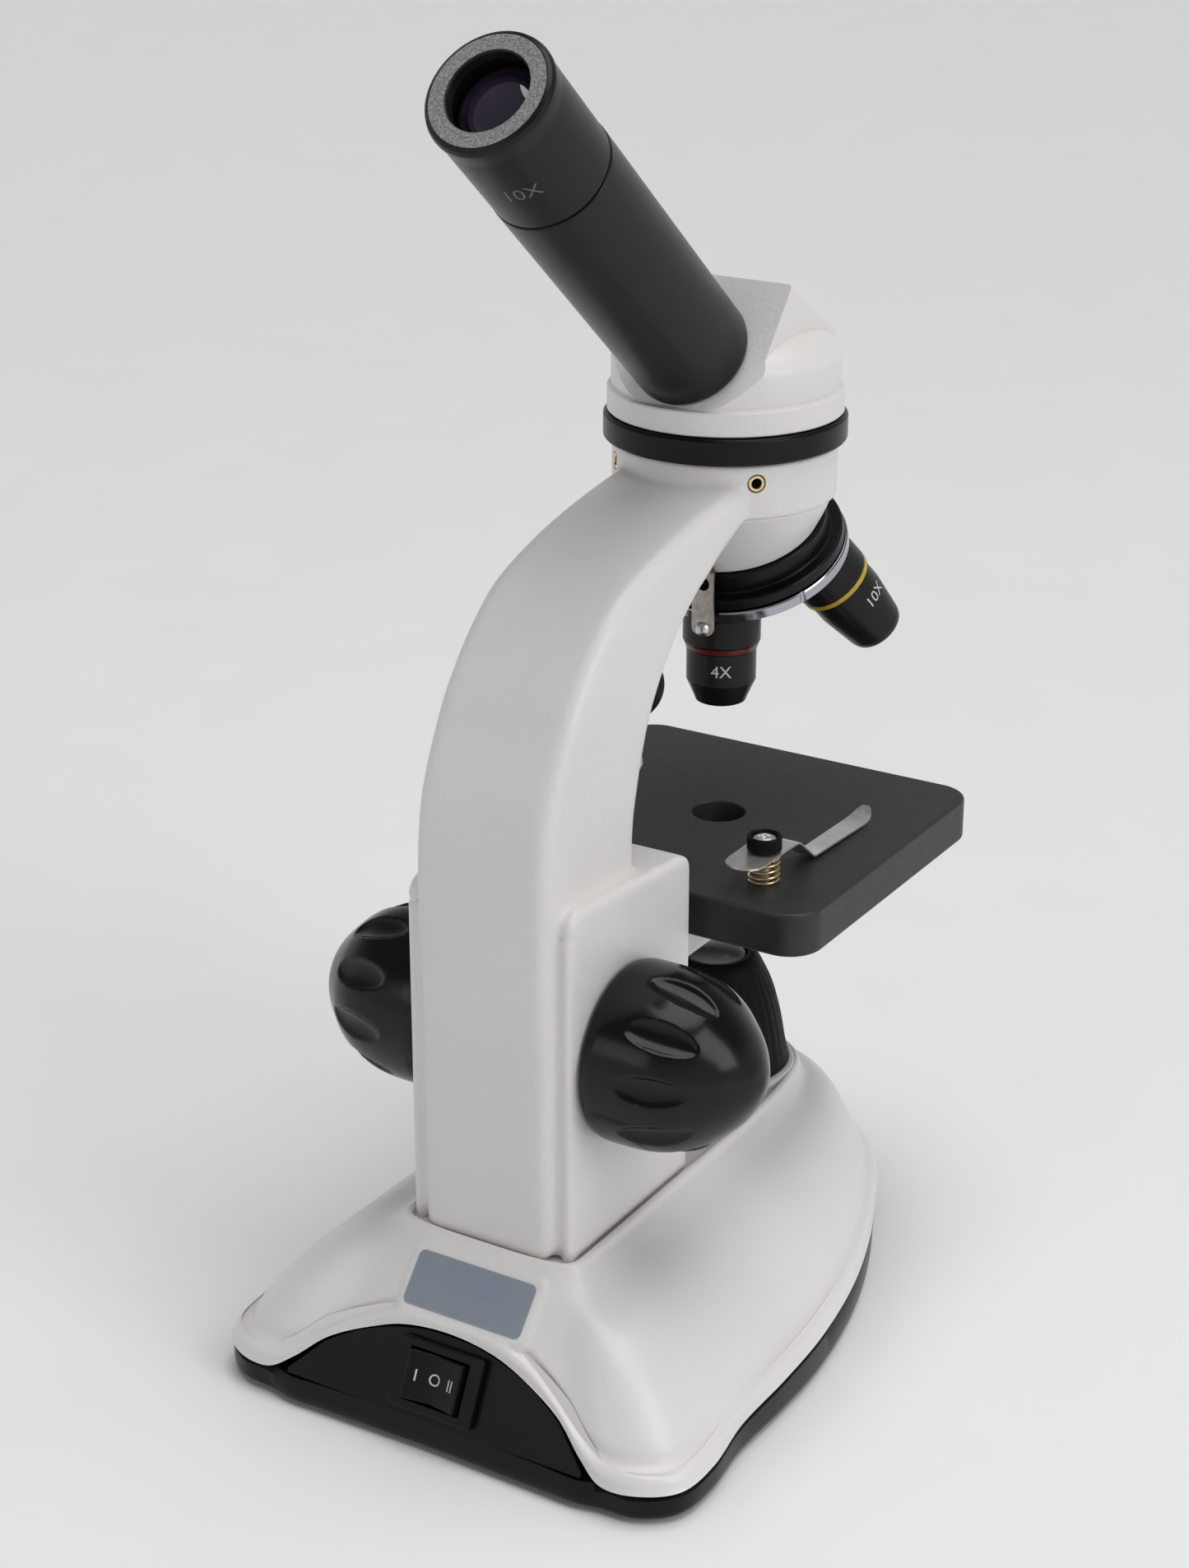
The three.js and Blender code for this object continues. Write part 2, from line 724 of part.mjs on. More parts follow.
// Objective profiles run from the thread, in the turret, to the tip; the bore is last.
const TOP_OF_OBJECTIVE = [
  [3, 30.8],
  [5.7, 30.8],
  [5.7, 34.9],
  [8.75, 35.1],
  [8.75, 42.6],
  [8.1, 43.4],
];
const OBJECTIVES = {
  objective_4x: {
    barrel: [[7.85, 44.8], [7.85, 50.8], [6.15, 54.6], [5.5, 56], [4, 56]],
    lens: 4,
    tip: 56,
  },
  objective_10x: {
    barrel: [[8, 44.8], [8, 49.4], [6.7, 59.4], [6, 60.9], [3.2, 60.9]],
    lens: 3.2,
    tip: 60.9,
  },
  objective_40x: {
    barrel: [[8, 44.8], [8, 54], [6.6, 58.4], [6.1, 59.2], [5.2, 59.2]],
    lens: 1.8,
    tip: 67,
  },
};

function addObjectives() {
  for (const [name, { barrel, lens, tip }] of Object.entries(OBJECTIVES)) {
    const { group } = objectiveFrames[name];
    const last = barrel.at(-1);
    const sprung = name === "objective_40x";
    const bore = sprung ? [[5.2, 52], [3, 52]] : [[lens, tip - 4], [3, tip - 4]];
    const body = [...TOP_OF_OBJECTIVE, ...barrel, ...bore, TOP_OF_OBJECTIVE[0]];
    add(name, turned(body, 24), blackAnodised, group);
    const seat = last[0] - GAP;
    const radius = sprung ? lens - GAP : seat;
    const glassShape = [[0, tip - 3.6], [radius, tip - 3.6], [radius, tip - 1], [0, tip - 0.7]];
    add(name + "_lens", turned(glassShape, 14), glass, group);
  }
  const nose = [
    [1.8, 55],
    [4.9, 55],
    [4.9, 64],
    [3.6, 66.6],
    [3, 67],
    [1.8, 67],
    [1.8, 55],
  ];
  add("objective_40x_nose", turned(nose, 20), chrome, objectiveFrames.objective_40x.group);
}

function addTurret() {
  addNosepiece();
  add("turret", turretGeometry(), blackPlastic, turretFrame);
  add("turret_ring", ring(23.03, 20.3, 25.1, 27.9, 36), chrome, turretFrame);
  addObjectives();
  // The leaf that clicks the turret into place stands behind its rim.
  const bend = [[22.7, 5.3], [19.95, 15], [20.6, 16.6], [24.5, 25.2], [26.1, 28.8]];
  const near = bend.map(([r, along]) => [-(r - 0.3), along]);
  const far = bend.map(([r, along]) => [-(r + 0.3), along]).reverse();
  add("click_spring", sideways(outline([...near, ...far]), 2.7), steel, turretFrame);
}

// ---- Focusing shaft, knobs, rack and stage ----

// The half-angle of a tooth at a radius: an involute above the base circle.
function toothHalfAngle(radius) {
  const pressure = THREE.MathUtils.degToRad(20);
  const involute = (a) => Math.tan(a) - a;
  const base = PINION_RADIUS * Math.cos(pressure);
  const atPitch = Math.PI / (2 * PINION_TEETH) - 0.022;
  const start = atPitch + involute(pressure);
  if (radius <= base) return start - (base - radius) * 0.03;
  return start - involute(Math.acos(base / radius));
}

function pinionOutline() {
  const radii = [4.8, PINION_RADIUS * 0.94, 6, 6.5, 6.85];
  const points = [];
  for (let tooth = 0; tooth < PINION_TEETH; tooth++) {
    const middle = Math.PI + (2 * Math.PI * tooth) / PINION_TEETH;
    const side = (sign) => (r) => {
      const angle = middle + sign * toothHalfAngle(r);
      return [r * Math.cos(angle), r * Math.sin(angle)];
    };
    points.push(...radii.map(side(-1)), ...radii.toReversed().map(side(1)));
  }
  return outline(points);
}

function addFocus() {
  const shaftFrame = frame(microscope, SHAFT_Y, SHAFT_Z, 0);
  const rod = alongX(pin(SHAFT_RADIUS, -44, 44, 24));
  const gear = sideways(pinionOutline(), 6);
  add("focus_shaft", carved(rod, { add: [gear] }), steel, shaftFrame);
  for (const [side, sign] of [["left", 1], ["right", -1]]) {
    const bush = alongX(ring(5, SHAFT_RADIUS + 0.05, 14, 20, 20));
    add("shaft_bush_" + side, welded(bush.scale(sign, 1, 1)), brass, shaftFrame);
    const knob = alongX(
      turned(
        [
          [3.3, 20.4],
          [18.9, 20.4],
          [19.5, 22],
          [19.6, 26.5],
          [19.1, 33],
          [17.6, 38.6],
          [15, 43.6],
          [11.6, 47.8],
          [7.6, 51],
          [3.6, 52.8],
          [0, 53.3],
          [0, 44.5],
          [3.3, 44.5],
          [3.3, 20.4],
        ],
        32,
      ),
    );
    add("focus_knob_" + side, welded(knob.scale(sign, 1, 1)), blackPlastic, shaftFrame);
  }
}

const RACK = { pitchLine: SHAFT_Y - PINION_RADIUS, low: 59, high: 89, addendum: 0.8 };

function rackOutline() {
  const step = Math.PI * PINION_MODULE;
  const lean = Math.tan(THREE.MathUtils.degToRad(20));
  const half = step / 4 - 0.12;
  const root = RACK.pitchLine - 1.25;
  const tip = RACK.pitchLine + RACK.addendum;
  const first = Math.ceil((RACK.low + 1.5 - SHAFT_Z) / step - 0.5);
  const last = Math.floor((RACK.high - 1.5 - SHAFT_Z) / step - 0.5);
  const points = [[66.6, RACK.high], [66.6, RACK.low], [root, RACK.low]];
  for (let tooth = first; tooth <= last; tooth++) {
    const z = SHAFT_Z + (tooth + 0.5) * step;
    const foot = half + 1.25 * lean;
    const crown = half - RACK.addendum * lean;
    points.push([root, z - foot], [tip, z - crown], [tip, z + crown], [root, z + foot]);
  }
  points.push([root, RACK.high]);
  return outline(points);
}

function addStageSlide() {
  add("focus_rack", sideways(rackOutline(), 4.5), steel);
  // The bracket: a table under the stage, a neck through the slot and a slide behind it.
  const under = STAGE_TOP - STAGE_THICKNESS - GAP;
  const table = raised(roundedRectangle(-14, 9, 14, BOX_FRONT - 0.5, 3), 83.4, under, 0.6);
  const faceplate = block([-12, 43.4, 62], [12, BOX_FRONT - 0.5, 84]);
  const neck = block([-6.5, 44, 64], [6.5, 55, 90]);
  const slide = block([-9, BOX_FRONT + 3.8, 60.5], [9, 59.6, 92]);
  const carrier = block([-6.5, 55, 60.5], [6.5, 66.3, 88.5]);
  const bracket = carved(table, { add: [faceplate, neck, slide, carrier] });
  add("stage_bracket", bracket, whitePaint);
}

const DIAPHRAGM = { y: -15.5, radius: 19.5, low: 90.1, high: 91.3 };

function addStage() {
  const half = STAGE_WIDTH / 2;
  const bottom = STAGE_TOP - STAGE_THICKNESS;
  const plan = roundedRectangle(-half, STAGE_FRONT, half, STAGE_BACK, STAGE_CORNER);
  const slab = raised(plan, bottom, STAGE_TOP, 0.5, 5);
  const pocket = (x0, x1) => raised(roundedRectangle(x0, -38.5, x1, 39.5, 4), bottom - 1, 97.9);
  const cut = [
    pin(STAGE_HOLE_RADIUS, bottom - 1, STAGE_TOP + 1, 24),
    pocket(20, half - 3.2),
    pocket(-half + 3.2, -20),
    moved(pin(1.9, bottom - 1, bottom + 5, 16), 0, DIAPHRAGM.y, 0),
    ...[POST_X, -POST_X].map((x) => moved(pin(1.75, 90, 110, 16), x, POST_Y, 0)),
  ];
  add("stage_plate", carved(slab, { cut }), matteBlack);
  const condenser = [[0, 92.6], [5.6, 92.6], [5.6, 95.4], [4, 96.9], [2, 97.6], [0, 97.9]];
  add("condenser_lens", turned(condenser, 20), glass);
  const holes = [5, 4, 3, 2, 1.2].map((radius, i) => {
    const angle = Math.PI / 2 + (i * 2 * Math.PI) / 5;
    const reach = -DIAPHRAGM.y;
    return moved(pin(radius, 80, 100, 20), reach * Math.cos(angle), reach * Math.sin(angle), 0);
  });
  const disc = carved(pin(DIAPHRAGM.radius, DIAPHRAGM.low, DIAPHRAGM.high, 40), {
    cut: [...holes, pin(1.9, 80, 100, 16)],
  });
  add("diaphragm_disc", moved(disc, 0, DIAPHRAGM.y, 0), matteBlack);
  const pivot = [[0, 89], [3.4, 89], [3.4, 89.8], [1.6, 89.8], [1.6, 96], [0, 96]];
  add("diaphragm_screw", moved(turned(pivot, 14), 0, DIAPHRAGM.y, 0), steel);
}

// The clip's leaf, from its rounded tail, over the post, to its tip on the stage.
const LEAF = [
  { x: -26.9, y: 40, half: 1.5, z: 6.6 },
  { x: -26.9, y: 39.2, half: 3.2, z: 6.6 },
  { x: -26.9, y: 37, half: 4.5, z: 6.6 },
  { x: -26.9, y: 25, half: 4.5, z: 6.6 },
  { x: -28.5, y: 20.6, half: 3.2, z: 6.5 },
  { x: -29.6, y: 14.4, half: 2.3, z: 1.4 },
  { x: -29.75, y: 12.6, half: 2.25, z: 0.9 },
  { x: -29.75, y: -9.6, half: 2.25, z: 0.35 },
  { x: -29.75, y: -12.4, half: 2.1, z: 0.7 },
  { x: -29.75, y: -14.4, half: 1.4, z: 2.2 },
];

function clipLeaf() {
  const thickness = 0.5;
  const rings = LEAF.map(({ x, y, half, z }, i) => {
    const next = LEAF[Math.min(i + 1, LEAF.length - 1)];
    const last = LEAF[Math.max(i - 1, 0)];
    const along = new THREE.Vector2(next.x - last.x, next.y - last.y).normalize();
    const [dx, dy] = [-along.y * half, along.x * half];
    const corner = (sign, dz) => new THREE.Vector3(x + sign * dx, y + sign * dy, z + dz);
    return [corner(1, 0), corner(-1, 0), corner(-1, thickness), corner(1, thickness)];
  });
  const centre = ({ x, y, z }) => new THREE.Vector3(x, y, z + thickness / 2);
  const strip = loft(rings, centre(LEAF[0]), centre(LEAF.at(-1)));
  return carved(strip, { cut: [moved(pin(1.9, 4, 9, 20), -POST_X, POST_Y, 0)] });
}

function addClips() {
  for (const [side, sign] of [["left", 1], ["right", -1]]) {
    const clip = new THREE.Group();
    clip.position.set(0, 0, STAGE_TOP);
    microscope.add(clip);
    const onPost = (geometry) => moved(geometry, sign * POST_X, POST_Y, 0);
    const screw = [[0, -9], [1.45, -9], [1.45, 9.1], [2.9, 9.1], [2.7, 10], [1.2, 10.5], [0, 10.5]];
    add("clip_screw_" + side, onPost(turned(screw, 14)), steel, clip);
    const cap = [
      [1.8, 7.4],
      [3.83, 7.4],
      [3.83, 10.3],
      [3.5, 10.7],
      [3.2, 10.7],
      [3.2, 8.8],
      [1.8, 8.8],
      [1.8, 7.4],
    ];
    add("clip_cap_" + side, onPost(turned(cap, 20)), matteBlack, clip);
    add("clip_spring_" + side, onPost(ring(3.7, 2.7, 0.3, 6.3, 20)), brass, clip);
    const leaf = clipLeaf();
    add("clip_leaf_" + side, welded(leaf.scale(-sign, 1, 1)), steel, clip);
  }
}

addBase();
addPanel();
addLamp();
addArm();
addUpperLamp();
addHead();
addEyepiece();
addTurret();
addFocus();
addStageSlide();
addStage();
addClips();

export default microscope;
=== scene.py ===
"""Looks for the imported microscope: every visible surface as a detailed piece on its CAD body.

Shape numbers are millimetres in the instrument's own frame: the optical axis is x = y = 0,
+y runs to the back of the arm, and heights start at the underside of the base tray.
"""

import json
import math

import bmesh
import bpy
from mathutils import Matrix, Vector
from mathutils.bvhtree import BVHTree


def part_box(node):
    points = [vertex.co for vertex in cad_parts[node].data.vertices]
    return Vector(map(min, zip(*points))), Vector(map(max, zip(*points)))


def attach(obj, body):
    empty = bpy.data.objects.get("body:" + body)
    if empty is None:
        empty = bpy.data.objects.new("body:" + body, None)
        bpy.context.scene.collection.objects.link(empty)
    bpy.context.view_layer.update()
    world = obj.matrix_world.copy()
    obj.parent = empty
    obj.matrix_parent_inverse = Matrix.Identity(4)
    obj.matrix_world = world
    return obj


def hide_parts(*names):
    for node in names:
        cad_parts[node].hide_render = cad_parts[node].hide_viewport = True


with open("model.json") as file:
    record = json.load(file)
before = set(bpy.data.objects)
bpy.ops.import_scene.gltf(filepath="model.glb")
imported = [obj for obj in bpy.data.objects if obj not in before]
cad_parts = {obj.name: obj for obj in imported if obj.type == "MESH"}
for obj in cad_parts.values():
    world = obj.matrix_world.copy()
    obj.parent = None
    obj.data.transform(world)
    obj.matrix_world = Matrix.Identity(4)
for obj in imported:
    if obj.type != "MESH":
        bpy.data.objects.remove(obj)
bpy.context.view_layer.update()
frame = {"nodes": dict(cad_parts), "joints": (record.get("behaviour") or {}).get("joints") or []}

MM = 0.001
joints = {j["name"]: j for j in frame["joints"]}
STAGE_TOP = 101.9
POST_X, POST_Y = 27.4, 29
SCREW_ANGLES = (45, 135, 270)
SCREW_LEVEL = 186.5
LETTER_LIFT = 0.06
MARK_LIFT = 0.00004
CAP_SHARE = 0.72
FLOOR_HALF = 25.0
TURRET_TILT = math.radians(24.4)
TUBE_TILT = math.radians(50)
PANEL_TILT = math.radians(116.4)

axis_y = joints["head_swivel"]["pos_m"][1]
tray_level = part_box("stage_plate")[1][2] - STAGE_TOP * MM
LOCAL = Matrix.Translation((0, axis_y, tray_level)) @ Matrix.Scale(MM, 4)


def turned_frame(x, y, z, angle_x):
    return LOCAL @ Matrix.Translation((x, y, z)) @ Matrix.Rotation(angle_x, 4, "X")


TUBE = turned_frame(0, 0, 199.4, -TUBE_TILT)
TURRET = turned_frame(0, 0, 185.5, math.pi - TURRET_TILT)
PANEL = turned_frame(0, 120.3, 6.8, PANEL_TILT)
SHAFT = turned_frame(0, 75.3, 79.8, 0)
STAGE = turned_frame(0, 0, STAGE_TOP, 0)
UPPER_LAMP = turned_frame(0, 59, 156, math.radians(120))
OBJECTIVE_TURNS = {"objective_4x": -90, "objective_10x": 150, "objective_40x": 30}


def objective_frame(name):
    around = Matrix.Rotation(math.radians(OBJECTIVE_TURNS[name]), 4, "Z")
    return TURRET @ around @ Matrix.Rotation(TURRET_TILT, 4, "Y")


# ---------------------------------------------------------------- camera and light

CAMERA_PLACE = Vector((-300.93, 545.69, 360.62))
CAMERA_AZIMUTH = math.radians(31.49)
CAMERA_DIP = math.radians(22.04)
CAMERA_LENS = 67.58
LIGHT_AIM = (0, 0, 0.14)
SKY_FADE = {"From Min": 0.05, "From Max": 0.6, "To Min": 0.66, "To Max": 0.16}


def aimed(name, data, ahead, place=(0, 0, 0)):
    made = bpy.data.objects.new(name, data)
    made.location = place
    made.rotation_euler = Vector(ahead).to_track_quat("-Z", "Y").to_euler()
    bpy.context.collection.objects.link(made)
    return made


def add_camera():
    data = bpy.data.cameras.new("camera")
    data.lens = CAMERA_LENS
    data.sensor_width = 36
    data.sensor_fit = "AUTO"
    data.clip_start = 0.01
    level = math.cos(CAMERA_DIP)
    across, back = math.sin(CAMERA_AZIMUTH) * level, math.cos(CAMERA_AZIMUTH) * level
    ahead = Vector((across, -back, -math.sin(CAMERA_DIP)))
    bpy.context.scene.camera = aimed("camera", data, ahead, LOCAL @ CAMERA_PLACE)


def add_softbox(name, place, size, watts, tint=(1, 1, 1)):
    data = bpy.data.lights.new(name, "AREA")
    data.shape = "RECTANGLE"
    data.size, data.size_y = size
    data.energy = watts
    data.color = tint
    aimed(name, data, Vector(LIGHT_AIM) - Vector(place), place)


def add_studio():
    add_softbox("key", (-1.15, 0.1, 0.8), (0.6, 0.9), 5)
    add_softbox("back_fill", (0.45, 1.5, 0.7), (0.9, 0.5), 1.6, (1, 0.985, 0.965))
    data = bpy.data.lights.new("overhead", "SUN")
    data.energy = 1.65
    data.angle = math.radians(50)
    aimed("overhead", data, (0.12, 0.1, -1))
    world = bpy.data.worlds.new("studio")
    world.use_nodes = True
    tree = world.node_tree
    direction = tree.nodes.new("ShaderNodeTexCoord").outputs["Generated"]
    split = tree.nodes.new("ShaderNodeSeparateXYZ")
    fade = tree.nodes.new("ShaderNodeMapRange")
    fade.interpolation_type = "SMOOTHSTEP"
    for socket, number in SKY_FADE.items():
        fade.inputs[socket].default_value = number
    background = tree.nodes["Background"]
    background.inputs["Color"].default_value = (0.95, 0.96, 0.975, 1)
    tree.links.new(direction, split.inputs["Vector"])
    tree.links.new(split.outputs["Z"], fade.inputs["Value"])
    tree.links.new(fade.outputs["Result"], background.inputs["Strength"])
    bpy.context.scene.world = world
    bpy.context.scene.view_settings.view_transform = "Standard"


# ---------------------------------------------------------------- materials


class Finish:
    """A Principled material and short ways to wire procedural detail into it."""

    def __init__(self, name, colour, roughness, metallic=0.0, **sockets):
        self.name = name
        self.material = bpy.data.materials.new(name)
        self.material.use_nodes = True
        self.tree = self.material.node_tree
        self.shader = self.tree.nodes["Principled BSDF"]
        self.colour = (*colour, 1)
        self.shader.inputs["Base Color"].default_value = self.colour
        self.shader.inputs["Roughness"].default_value = roughness
        self.shader.inputs["Metallic"].default_value = metallic
        for socket, value in sockets.items():
            self.shader.inputs[socket.replace("_", " ")].default_value = value
        self.coordinates = self.tree.nodes.new("ShaderNodeTexCoord").outputs["Object"]
        self.material.diffuse_color = self.colour

    def node(self, kind, **settings):
        made = self.tree.nodes.new(kind)
        for key, value in settings.items():
            if hasattr(made, key):
                setattr(made, key, value)
            else:
                made.inputs[key.replace("_", " ")].default_value = value
        return made

    def link(self, output, target):
        self.tree.links.new(output, target)

    def stretched(self, stretch):
        mapping = self.node("ShaderNodeMapping", Scale=stretch)
        self.link(self.coordinates, mapping.inputs["Vector"])
        return mapping.outputs["Vector"]

    def noise(self, scale, detail=3.0, stretch=(1, 1, 1)):
        made = self.node("ShaderNodeTexNoise", Scale=scale, Detail=detail)
        self.link(self.stretched(stretch), made.inputs["Vector"])
        return made.outputs["Fac"]

    def ranged(self, value, low, high, start=0.3, stop=0.7):
        made = self.node("ShaderNodeMapRange")
        for socket, number in zip(
            ("From Min", "From Max", "To Min", "To Max"), (start, stop, low, high)
        ):
            made.inputs[socket].default_value = number
        self.link(value, made.inputs["Value"])
        return made.outputs["Result"]

    def uneven(self, scale, low, high, stretch=(1, 1, 1)):
        varied = self.ranged(self.noise(scale, 4.0, stretch), low, high)
        self.link(varied, self.shader.inputs["Roughness"])
        return self

    def mottled(self, scale, other, detail=4.0, start=0.35, stop=0.7):
        mix = self.node("ShaderNodeMix", data_type="RGBA")
        sockets = [s for s in mix.inputs if s.type == "RGBA"]
        sockets[0].default_value = self.colour
        sockets[1].default_value = (*other, 1)
        self.link(self.ranged(self.noise(scale, detail), 0, 1, start, stop), mix.inputs["Factor"])
        result = [s for s in mix.outputs if s.type == "RGBA"][0]
        self.link(result, self.shader.inputs["Base Color"])
        return self

    def bump(self, scale, depth_mm, detail=2.0, stretch=(1, 1, 1), strength=1.0):
        made = self.node("ShaderNodeBump", Strength=strength, Distance=depth_mm * MM)
        self.link(self.noise(scale, detail, stretch), made.inputs["Height"])
        previous = self.shader.inputs["Normal"].links
        if previous:
            self.link(previous[0].from_socket, made.inputs["Normal"])
        self.link(made.outputs["Normal"], self.shader.inputs["Normal"])
        return self


COAT = {"Coat_Weight": 0.12, "Coat_Roughness": 0.25}
GLAZE = {"Coat_Weight": 1.0, "Coat_Roughness": 0.02}
MADE = [
    Finish("white_paint", (0.74, 0.72, 0.70), 0.4, **COAT)
    .mottled(35, (0.71, 0.69, 0.67))
    .uneven(420, 0.34, 0.47)
    .bump(950, 0.2, 1.5, strength=0.5)
    .bump(2600, 0.05, 2.0, strength=0.4),
    Finish("smooth_white", (0.76, 0.74, 0.725), 0.33, **COAT)
    .mottled(30, (0.735, 0.715, 0.70))
    .uneven(260, 0.29, 0.4)
    .bump(620, 0.16, 2.0, strength=0.45),
    Finish("black_gloss", (0.0035, 0.0036, 0.0043), 0.27, Specular_IOR_Level=0.2)
    .mottled(60, (0.005, 0.0051, 0.0059))
    .uneven(700, 0.28, 0.33)
    .bump(3600, 0.012, 2.0, strength=0.3),
    Finish("knob_black", (0.0025, 0.0025, 0.003), 0.19, Specular_IOR_Level=0.3)
    .mottled(50, (0.0038, 0.0038, 0.0043))
    .uneven(900, 0.17, 0.22)
    .bump(2600, 0.008, 2.0, strength=0.15),
    Finish("black_matte", (0.004, 0.004, 0.0048), 0.42, Specular_IOR_Level=0.1)
    .mottled(70, (0.0058, 0.0058, 0.0066))
    .uneven(500, 0.44, 0.6)
    .bump(2400, 0.04, 3.0, strength=0.5),
    Finish("black_anodised", (0.0066, 0.007, 0.0068), 0.3, 0.0, Specular_IOR_Level=0.22)
    .mottled(80, (0.0082, 0.0086, 0.0084))
    .uneven(1400, 0.28, 0.35)
    .bump(4200, 0.012, 3.0, strength=0.3),
    Finish("stage_black", (0.022, 0.022, 0.0235), 0.44, Specular_IOR_Level=0.4)
    .mottled(300, (0.027, 0.027, 0.029))
    .uneven(1500, 0.41, 0.52)
    .bump(2600, 0.035, 4.0, strength=0.45),
    Finish("speckled_grey", (0.16, 0.155, 0.16), 0.6)
    .mottled(2600, (0.34, 0.32, 0.325), 2.0, 0.42, 0.6)
    .uneven(900, 0.5, 0.7)
    .bump(2600, 0.05, 2.0, strength=0.6),
    Finish("chrome", (0.42, 0.43, 0.46), 0.14, 1.0)
    .uneven(900, 0.1, 0.2)
    .bump(1500, 0.008, 2.0, strength=0.3),
    Finish("steel", (0.66, 0.645, 0.625), 0.24, 1.0)
    .mottled(240, (0.56, 0.55, 0.535))
    .uneven(1400, 0.2, 0.32, (1, 0.08, 1))
    .bump(2500, 0.005, 2.0, (1, 0.1, 1), 0.2),
    Finish("spring_steel", (0.40, 0.375, 0.34), 0.3, 1.0)
    .mottled(500, (0.30, 0.27, 0.23))
    .uneven(900, 0.24, 0.4),
    # Steel with its colour raised well above plain steel's: a painted reflection of bright
    # surroundings, used on the clips.
    Finish("bright_steel", (0.86, 0.84, 0.81), 0.34, 0.9)
    .mottled(260, (0.78, 0.76, 0.73))
    .uneven(900, 0.29, 0.4, (1, 0.1, 1))
    .bump(1800, 0.004, 2.0, (1, 0.08, 1), 0.2),
    Finish("brass", (0.80, 0.64, 0.36), 0.22, 1.0)
    .mottled(500, (0.68, 0.52, 0.27))
    .uneven(1200, 0.15, 0.32),
    Finish("rubber", (0.013, 0.013, 0.013), 0.85)
    .uneven(700, 0.75, 0.95)
    .bump(2200, 0.05, 3.0, strength=0.6),
    Finish("label_foil", (0.30, 0.36, 0.45), 0.33, 0.45)
    .mottled(55, (0.36, 0.385, 0.43), 1.0, 0.3, 0.75)
    .uneven(500, 0.3, 0.4)
    .bump(180, 0.05, 1.0, strength=0.3),
    Finish("grey_plastic", (0.24, 0.24, 0.25), 0.55)
    .mottled(90, (0.29, 0.29, 0.3))
    .uneven(400, 0.48, 0.65)
    .bump(2000, 0.04, 2.0, strength=0.4),
    Finish("lamp_white", (0.85, 0.8, 0.66), 0.4)
    .mottled(700, (0.78, 0.68, 0.42))
    .uneven(600, 0.32, 0.5),
    Finish("marking_white", (0.62, 0.62, 0.62), 0.5)
    .mottled(3000, (0.5, 0.5, 0.5))
    .uneven(2000, 0.42, 0.6),
    Finish("faint_marking", (0.11, 0.105, 0.11), 0.45)
    .mottled(3000, (0.08, 0.078, 0.08))
    .uneven(2000, 0.4, 0.55),
    Finish("red_band", (0.14, 0.008, 0.01), 0.32)
    .mottled(900, (0.10, 0.006, 0.008))
    .uneven(1100, 0.26, 0.4),
    Finish("yellow_band", (0.52, 0.36, 0.015), 0.32)
    .mottled(900, (0.44, 0.29, 0.01))
    .uneven(1100, 0.26, 0.4),
    Finish("blue_band", (0.02, 0.09, 0.36), 0.32)
    .mottled(900, (0.015, 0.07, 0.28))
    .uneven(1100, 0.26, 0.4),
    Finish("violet_glass", (0.022, 0.016, 0.034), 0.03, Transmission_Weight=0.15, IOR=1.5, **GLAZE)
    .mottled(120, (0.03, 0.018, 0.045)),
    Finish("lamp_glass", (0.3, 0.31, 0.32), 0.2, Transmission_Weight=0.75, IOR=1.45)
    .uneven(300, 0.16, 0.28),
    Finish("clear_glass", (0.9, 0.92, 0.93), 0.04, Transmission_Weight=0.9, IOR=1.5)
    .uneven(300, 0.02, 0.07),
]
FINISHES = {finish.name: finish.material for finish in MADE}


# ---------------------------------------------------------------- mesh helpers


def piece(name, points, faces, finish, body, replaces=(), place=LOCAL, sharp=45):
    """A mesh piece from points in millimetres, riding on a body."""
    mesh = bpy.data.meshes.new(name)
    mesh.from_pydata([place @ Vector(p) for p in points], [], faces)
    mesh.validate()
    obj = bpy.data.objects.new(name, mesh)
    bpy.context.collection.objects.link(obj)
    return dress(obj, finish, body, replaces, sharp)


def dress(obj, finish, body, replaces=(), sharp=45):
    mesh = obj.data
    recalculate_normals(mesh)
    mesh.shade_smooth()
    mesh.set_sharp_from_angle(angle=math.radians(sharp))
    mesh.materials.clear()
    mesh.materials.append(FINISHES[finish])
    if body:
        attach(obj, body)
        for node in replaces:
            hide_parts(node)
    return obj


def recalculate_normals(mesh):
    work = bmesh.new()
    work.from_mesh(mesh)
    bmesh.ops.remove_doubles(work, verts=work.verts, dist=1e-7)
    bmesh.ops.recalc_face_normals(work, faces=work.faces)
    work.to_mesh(mesh)
    work.free()


def flat_shading_kept(obj):
    """Keeps flat faces flat beside small rounded edges."""
    modifier = obj.modifiers.new("weighted", "WEIGHTED_NORMAL")
    modifier.keep_sharp = True
    return obj


def baked(obj):
    """Turns the modifiers' result into the object's own mesh."""
    bpy.context.view_layer.update()
    evaluated = obj.evaluated_get(bpy.context.evaluated_depsgraph_get())
    mesh = bpy.data.meshes.new_from_object(evaluated)
    obj.modifiers.clear()
    old = obj.data
    obj.data = mesh
    bpy.data.meshes.remove(old)
    return obj


def boolean(obj, others, operation):
    for other in others:
        modifier = obj.modifiers.new(operation, "BOOLEAN")
        modifier.operation = operation
        modifier.solver = "MANIFOLD"
        modifier.object = other
    baked(obj)
    for other in others:
        bpy.data.objects.remove(other)
    return obj


def carve(obj, cutters, *looks):
    """Cuts the piece, then dresses it if its looks are given."""
    boolean(obj, cutters, "DIFFERENCE")
    return dress(obj, *looks) if looks else obj


def merge(obj, other):
    return boolean(obj, [other], "UNION")


